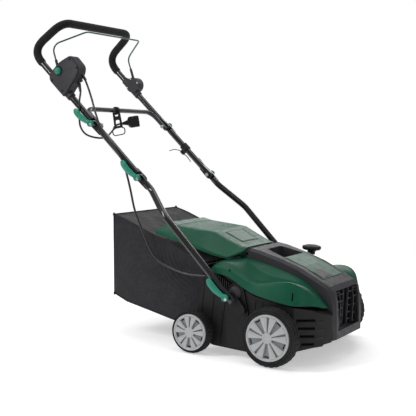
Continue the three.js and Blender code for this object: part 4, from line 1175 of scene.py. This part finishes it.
def bag_point(forward, across, up):
    """A point of the bag's hull; forward and up run 0 to 1, across runs -1 to 1."""
    rear = -0.196 + (-0.211 + 0.196) * up
    x = rear + (BAG_FRONT - rear) * forward
    z = height_at(BAG_BOTTOM, x) + (height_at(BAG_TOP, x) - height_at(BAG_BOTTOM, x)) * up
    return Vector((x, across * BAG_HALF, z))


def top_point(forward, across):
    return bag_point(forward, across, 1)


def bottom_point(forward, across):
    return bag_point(forward, across, 0)


def rear_point(up, across):
    return bag_point(0, across, up)


def slack(u, v):
    """How far cloth stands off its flat panel: full in the middle, held at the seams."""
    return math.sin(math.pi * u) ** 0.7 * math.sin(math.pi * v) ** 0.7


def ripple(point, strength):
    return strength * (noise.noise(point * 16) + 0.5 * noise.noise(point * 39))


def fold_height(forward):
    """Where the slack side panel folds: low at the rear, half-way up from the middle forward."""
    return 0.05 + 0.42 * math.sin(math.pi / 2 * min(forward / 0.5, 1))


def bag_side(shape, side, count):
    """A side panel that bulges to a fold, with gathers below the flap."""
    rings = []
    for i in range(count + 1):
        ring = []
        for k in range(count + 1):
            forward, up = i / count, k / count
            point = bag_point(forward, side, up)
            loose = slack(forward, up)
            fold = fold_height(forward)
            tent = min(up / fold, (1 - up) / (1 - fold)) * math.sin(math.pi * forward) ** 0.6
            puff = 0.0200 * tent * (1 - 0.4 * forward) + ripple(point, 0.0014) * loose
            reach = (Vector((point.x, 0, point.z)) - GATHERS).length
            under_flap = max(0.0, min(1.0, (0.32 - point.z) / 0.03))
            gathered = math.exp(-((reach - 0.125) / 0.055) ** 2) * under_flap
            puff += 0.0030 * gathered * loose * math.sin(reach * 450)
            point.y += side * puff
            ring.append(point)
        rings.append(ring)
    skin(shape, rings, closed=False)


def bag_strip(shape, place, push, amount, count):
    """The top, bottom or rear panel: place(u, across) gives its points, push its outward direction."""
    rings = []
    for i in range(count + 1):
        ring = []
        for k in range(count + 1):
            u, across = i / count, 2 * k / count - 1
            point = place(u, across)
            loose = slack(u, k / count)
            ring.append(point + push * (amount * loose + ripple(point, 0.004) * loose))
        rings.append(ring)
    skin(shape, rings, closed=False)


def grass_bag():
    count = 72
    shape = bmesh.new()
    for _, side in SIDES:
        bag_side(shape, side, count)
    bag_strip(shape, top_point, Vector((0, 0, 1)), -0.009, count)
    bag_strip(shape, bottom_point, Vector((0, 0, 1)), -0.007, count)
    bag_strip(shape, rear_point, Vector((-1, 0, 0)), 0.006, count)
    bmesh.ops.remove_doubles(shape, verts=shape.verts, dist=1e-5)
    bag = finished("grass_bag", mesh_of("grass_bag", shape), "bag_cloth", "grass_bag", ["bag_fabric"],
                   thickness=0.0012)
    seams = [
        bag_seam("rear_right", [bag_point(0, -1, k / 12) for k in range(13)]),
        bag_seam("rear_left", [bag_point(0, 1, k / 12) for k in range(13)]),
        bag_seam("top_rear", [bag_point(0, a / 6 - 1, 1) for a in range(13)]),
        bag_seam("bottom_rear", [bag_point(0, a / 6 - 1, 0) for a in range(13)]),
    ]
    for name, side in SIDES:
        for level, up in (("top", 1), ("bottom", 0)):
            seams.append(bag_seam(f"{level}_{name}", [bag_point(k / 20, side, up) for k in range(21)]))
    seams.append(bag_corners())


def bag_seam(name, path):
    """Bound edge where two panels of the bag meet."""
    piece_name = "bag_seam_" + name
    mesh = swept(piece_name, path, 0.0024, 10)
    return finished(piece_name, mesh, "bag_cloth", "grass_bag")


def bag_corners():
    """The bound corners at the rear, where three seams are gathered over the frame's ends."""
    shape = bmesh.new()
    for side in (-1, 1):
        for up in (0, 1):
            place = Matrix.Translation(bag_point(0, side, up)) @ Matrix.Diagonal((1, 1, 1.5, 1))
            bmesh.ops.create_icosphere(shape, subdivisions=3, radius=0.0042, matrix=place)
    return finished("bag_corners", mesh_of("bag_corners", shape), "bag_cloth", "grass_bag")


# ---------- studio ----------
def add_floor():
    """A disc of white paper, small enough that its edge is as bright as the backdrop."""
    shape = bmesh.new()
    below_wheels = Matrix.Translation((0, 0, -0.0004))
    bmesh.ops.create_circle(shape, cap_ends=True, segments=96, radius=2.2, matrix=below_wheels)
    mesh = bpy.data.meshes.new("floor")
    shape.to_mesh(mesh)
    shape.free()
    floor = bpy.data.objects.new("floor", mesh)
    bpy.context.scene.collection.objects.link(floor)
    paper = Finish("floor_paper", (0.93, 0.93, 0.93), 0.7)
    paper.rough(paper.noise(3, 2), 0.05)
    paper.gloss(Emission_Color=(1, 1, 1, 1), Emission_Strength=0.42)
    mesh.materials.append(paper.material)


def add_light(name, place, target, size, power):
    data = bpy.data.lights.new(name, "AREA")
    data.shape = "RECTANGLE"
    data.size, data.size_y = size
    data.energy = power
    light = bpy.data.objects.new(name, data)
    light.location = place
    light.rotation_euler = (Vector(target) - Vector(place)).to_track_quat("-Z", "Y").to_euler()
    bpy.context.scene.collection.objects.link(light)


def add_world():
    """Dim white light all round, behind a plain white backdrop."""
    world = bpy.data.worlds.new("studio")
    world.use_nodes = True
    tree = world.node_tree
    ambient = tree.nodes["Background"]
    ambient.inputs["Color"].default_value = (1, 1, 1, 1)
    ambient.inputs["Strength"].default_value = 0.38
    backdrop = tree.nodes.new("ShaderNodeBackground")
    backdrop.inputs["Color"].default_value = (1, 1, 1, 1)
    backdrop.inputs["Strength"].default_value = 1.0
    choice = tree.nodes.new("ShaderNodeMixShader")
    rays = tree.nodes.new("ShaderNodeLightPath")
    tree.links.new(rays.outputs["Is Camera Ray"], choice.inputs["Fac"])
    tree.links.new(ambient.outputs["Background"], choice.inputs[1])
    tree.links.new(backdrop.outputs["Background"], choice.inputs[2])
    tree.links.new(choice.outputs["Shader"], tree.nodes["World Output"].inputs["Surface"])
    bpy.context.scene.world = world


def add_studio():
    add_floor()
    add_world()
    bpy.context.scene.view_settings.view_transform = "Standard"
    add_light("key", (-1.6, -2.4, 2.4), (0.0, 0, 0.35), (0.5, 2.2), 56)
    add_light("fill", (2.8, -1.0, 1.5), (0.2, 0, 0.3), (0.7, 1.6), 6)
    add_light("top", (0.2, 0.3, 2.9), (0.1, 0, 0.2), (2.0, 1.4), 20)
    add_light("back", (-0.6, 2.6, 1.6), (0, 0, 0.4), (2.0, 1.0), 18)


# ---------- build ----------
add_camera()
pigtail()
motor_cable()
upper_handle()
foam_grip()
straight_tubes()
lower_tubes()
crossbar()
bail()
cam_levers()
switch_box()
lock_button()
bail_holder()
wheels()
top_cover()
rear_flap()
nose()
deck()
depth_control()
plain_nodes()
grass_bag()
add_studio()
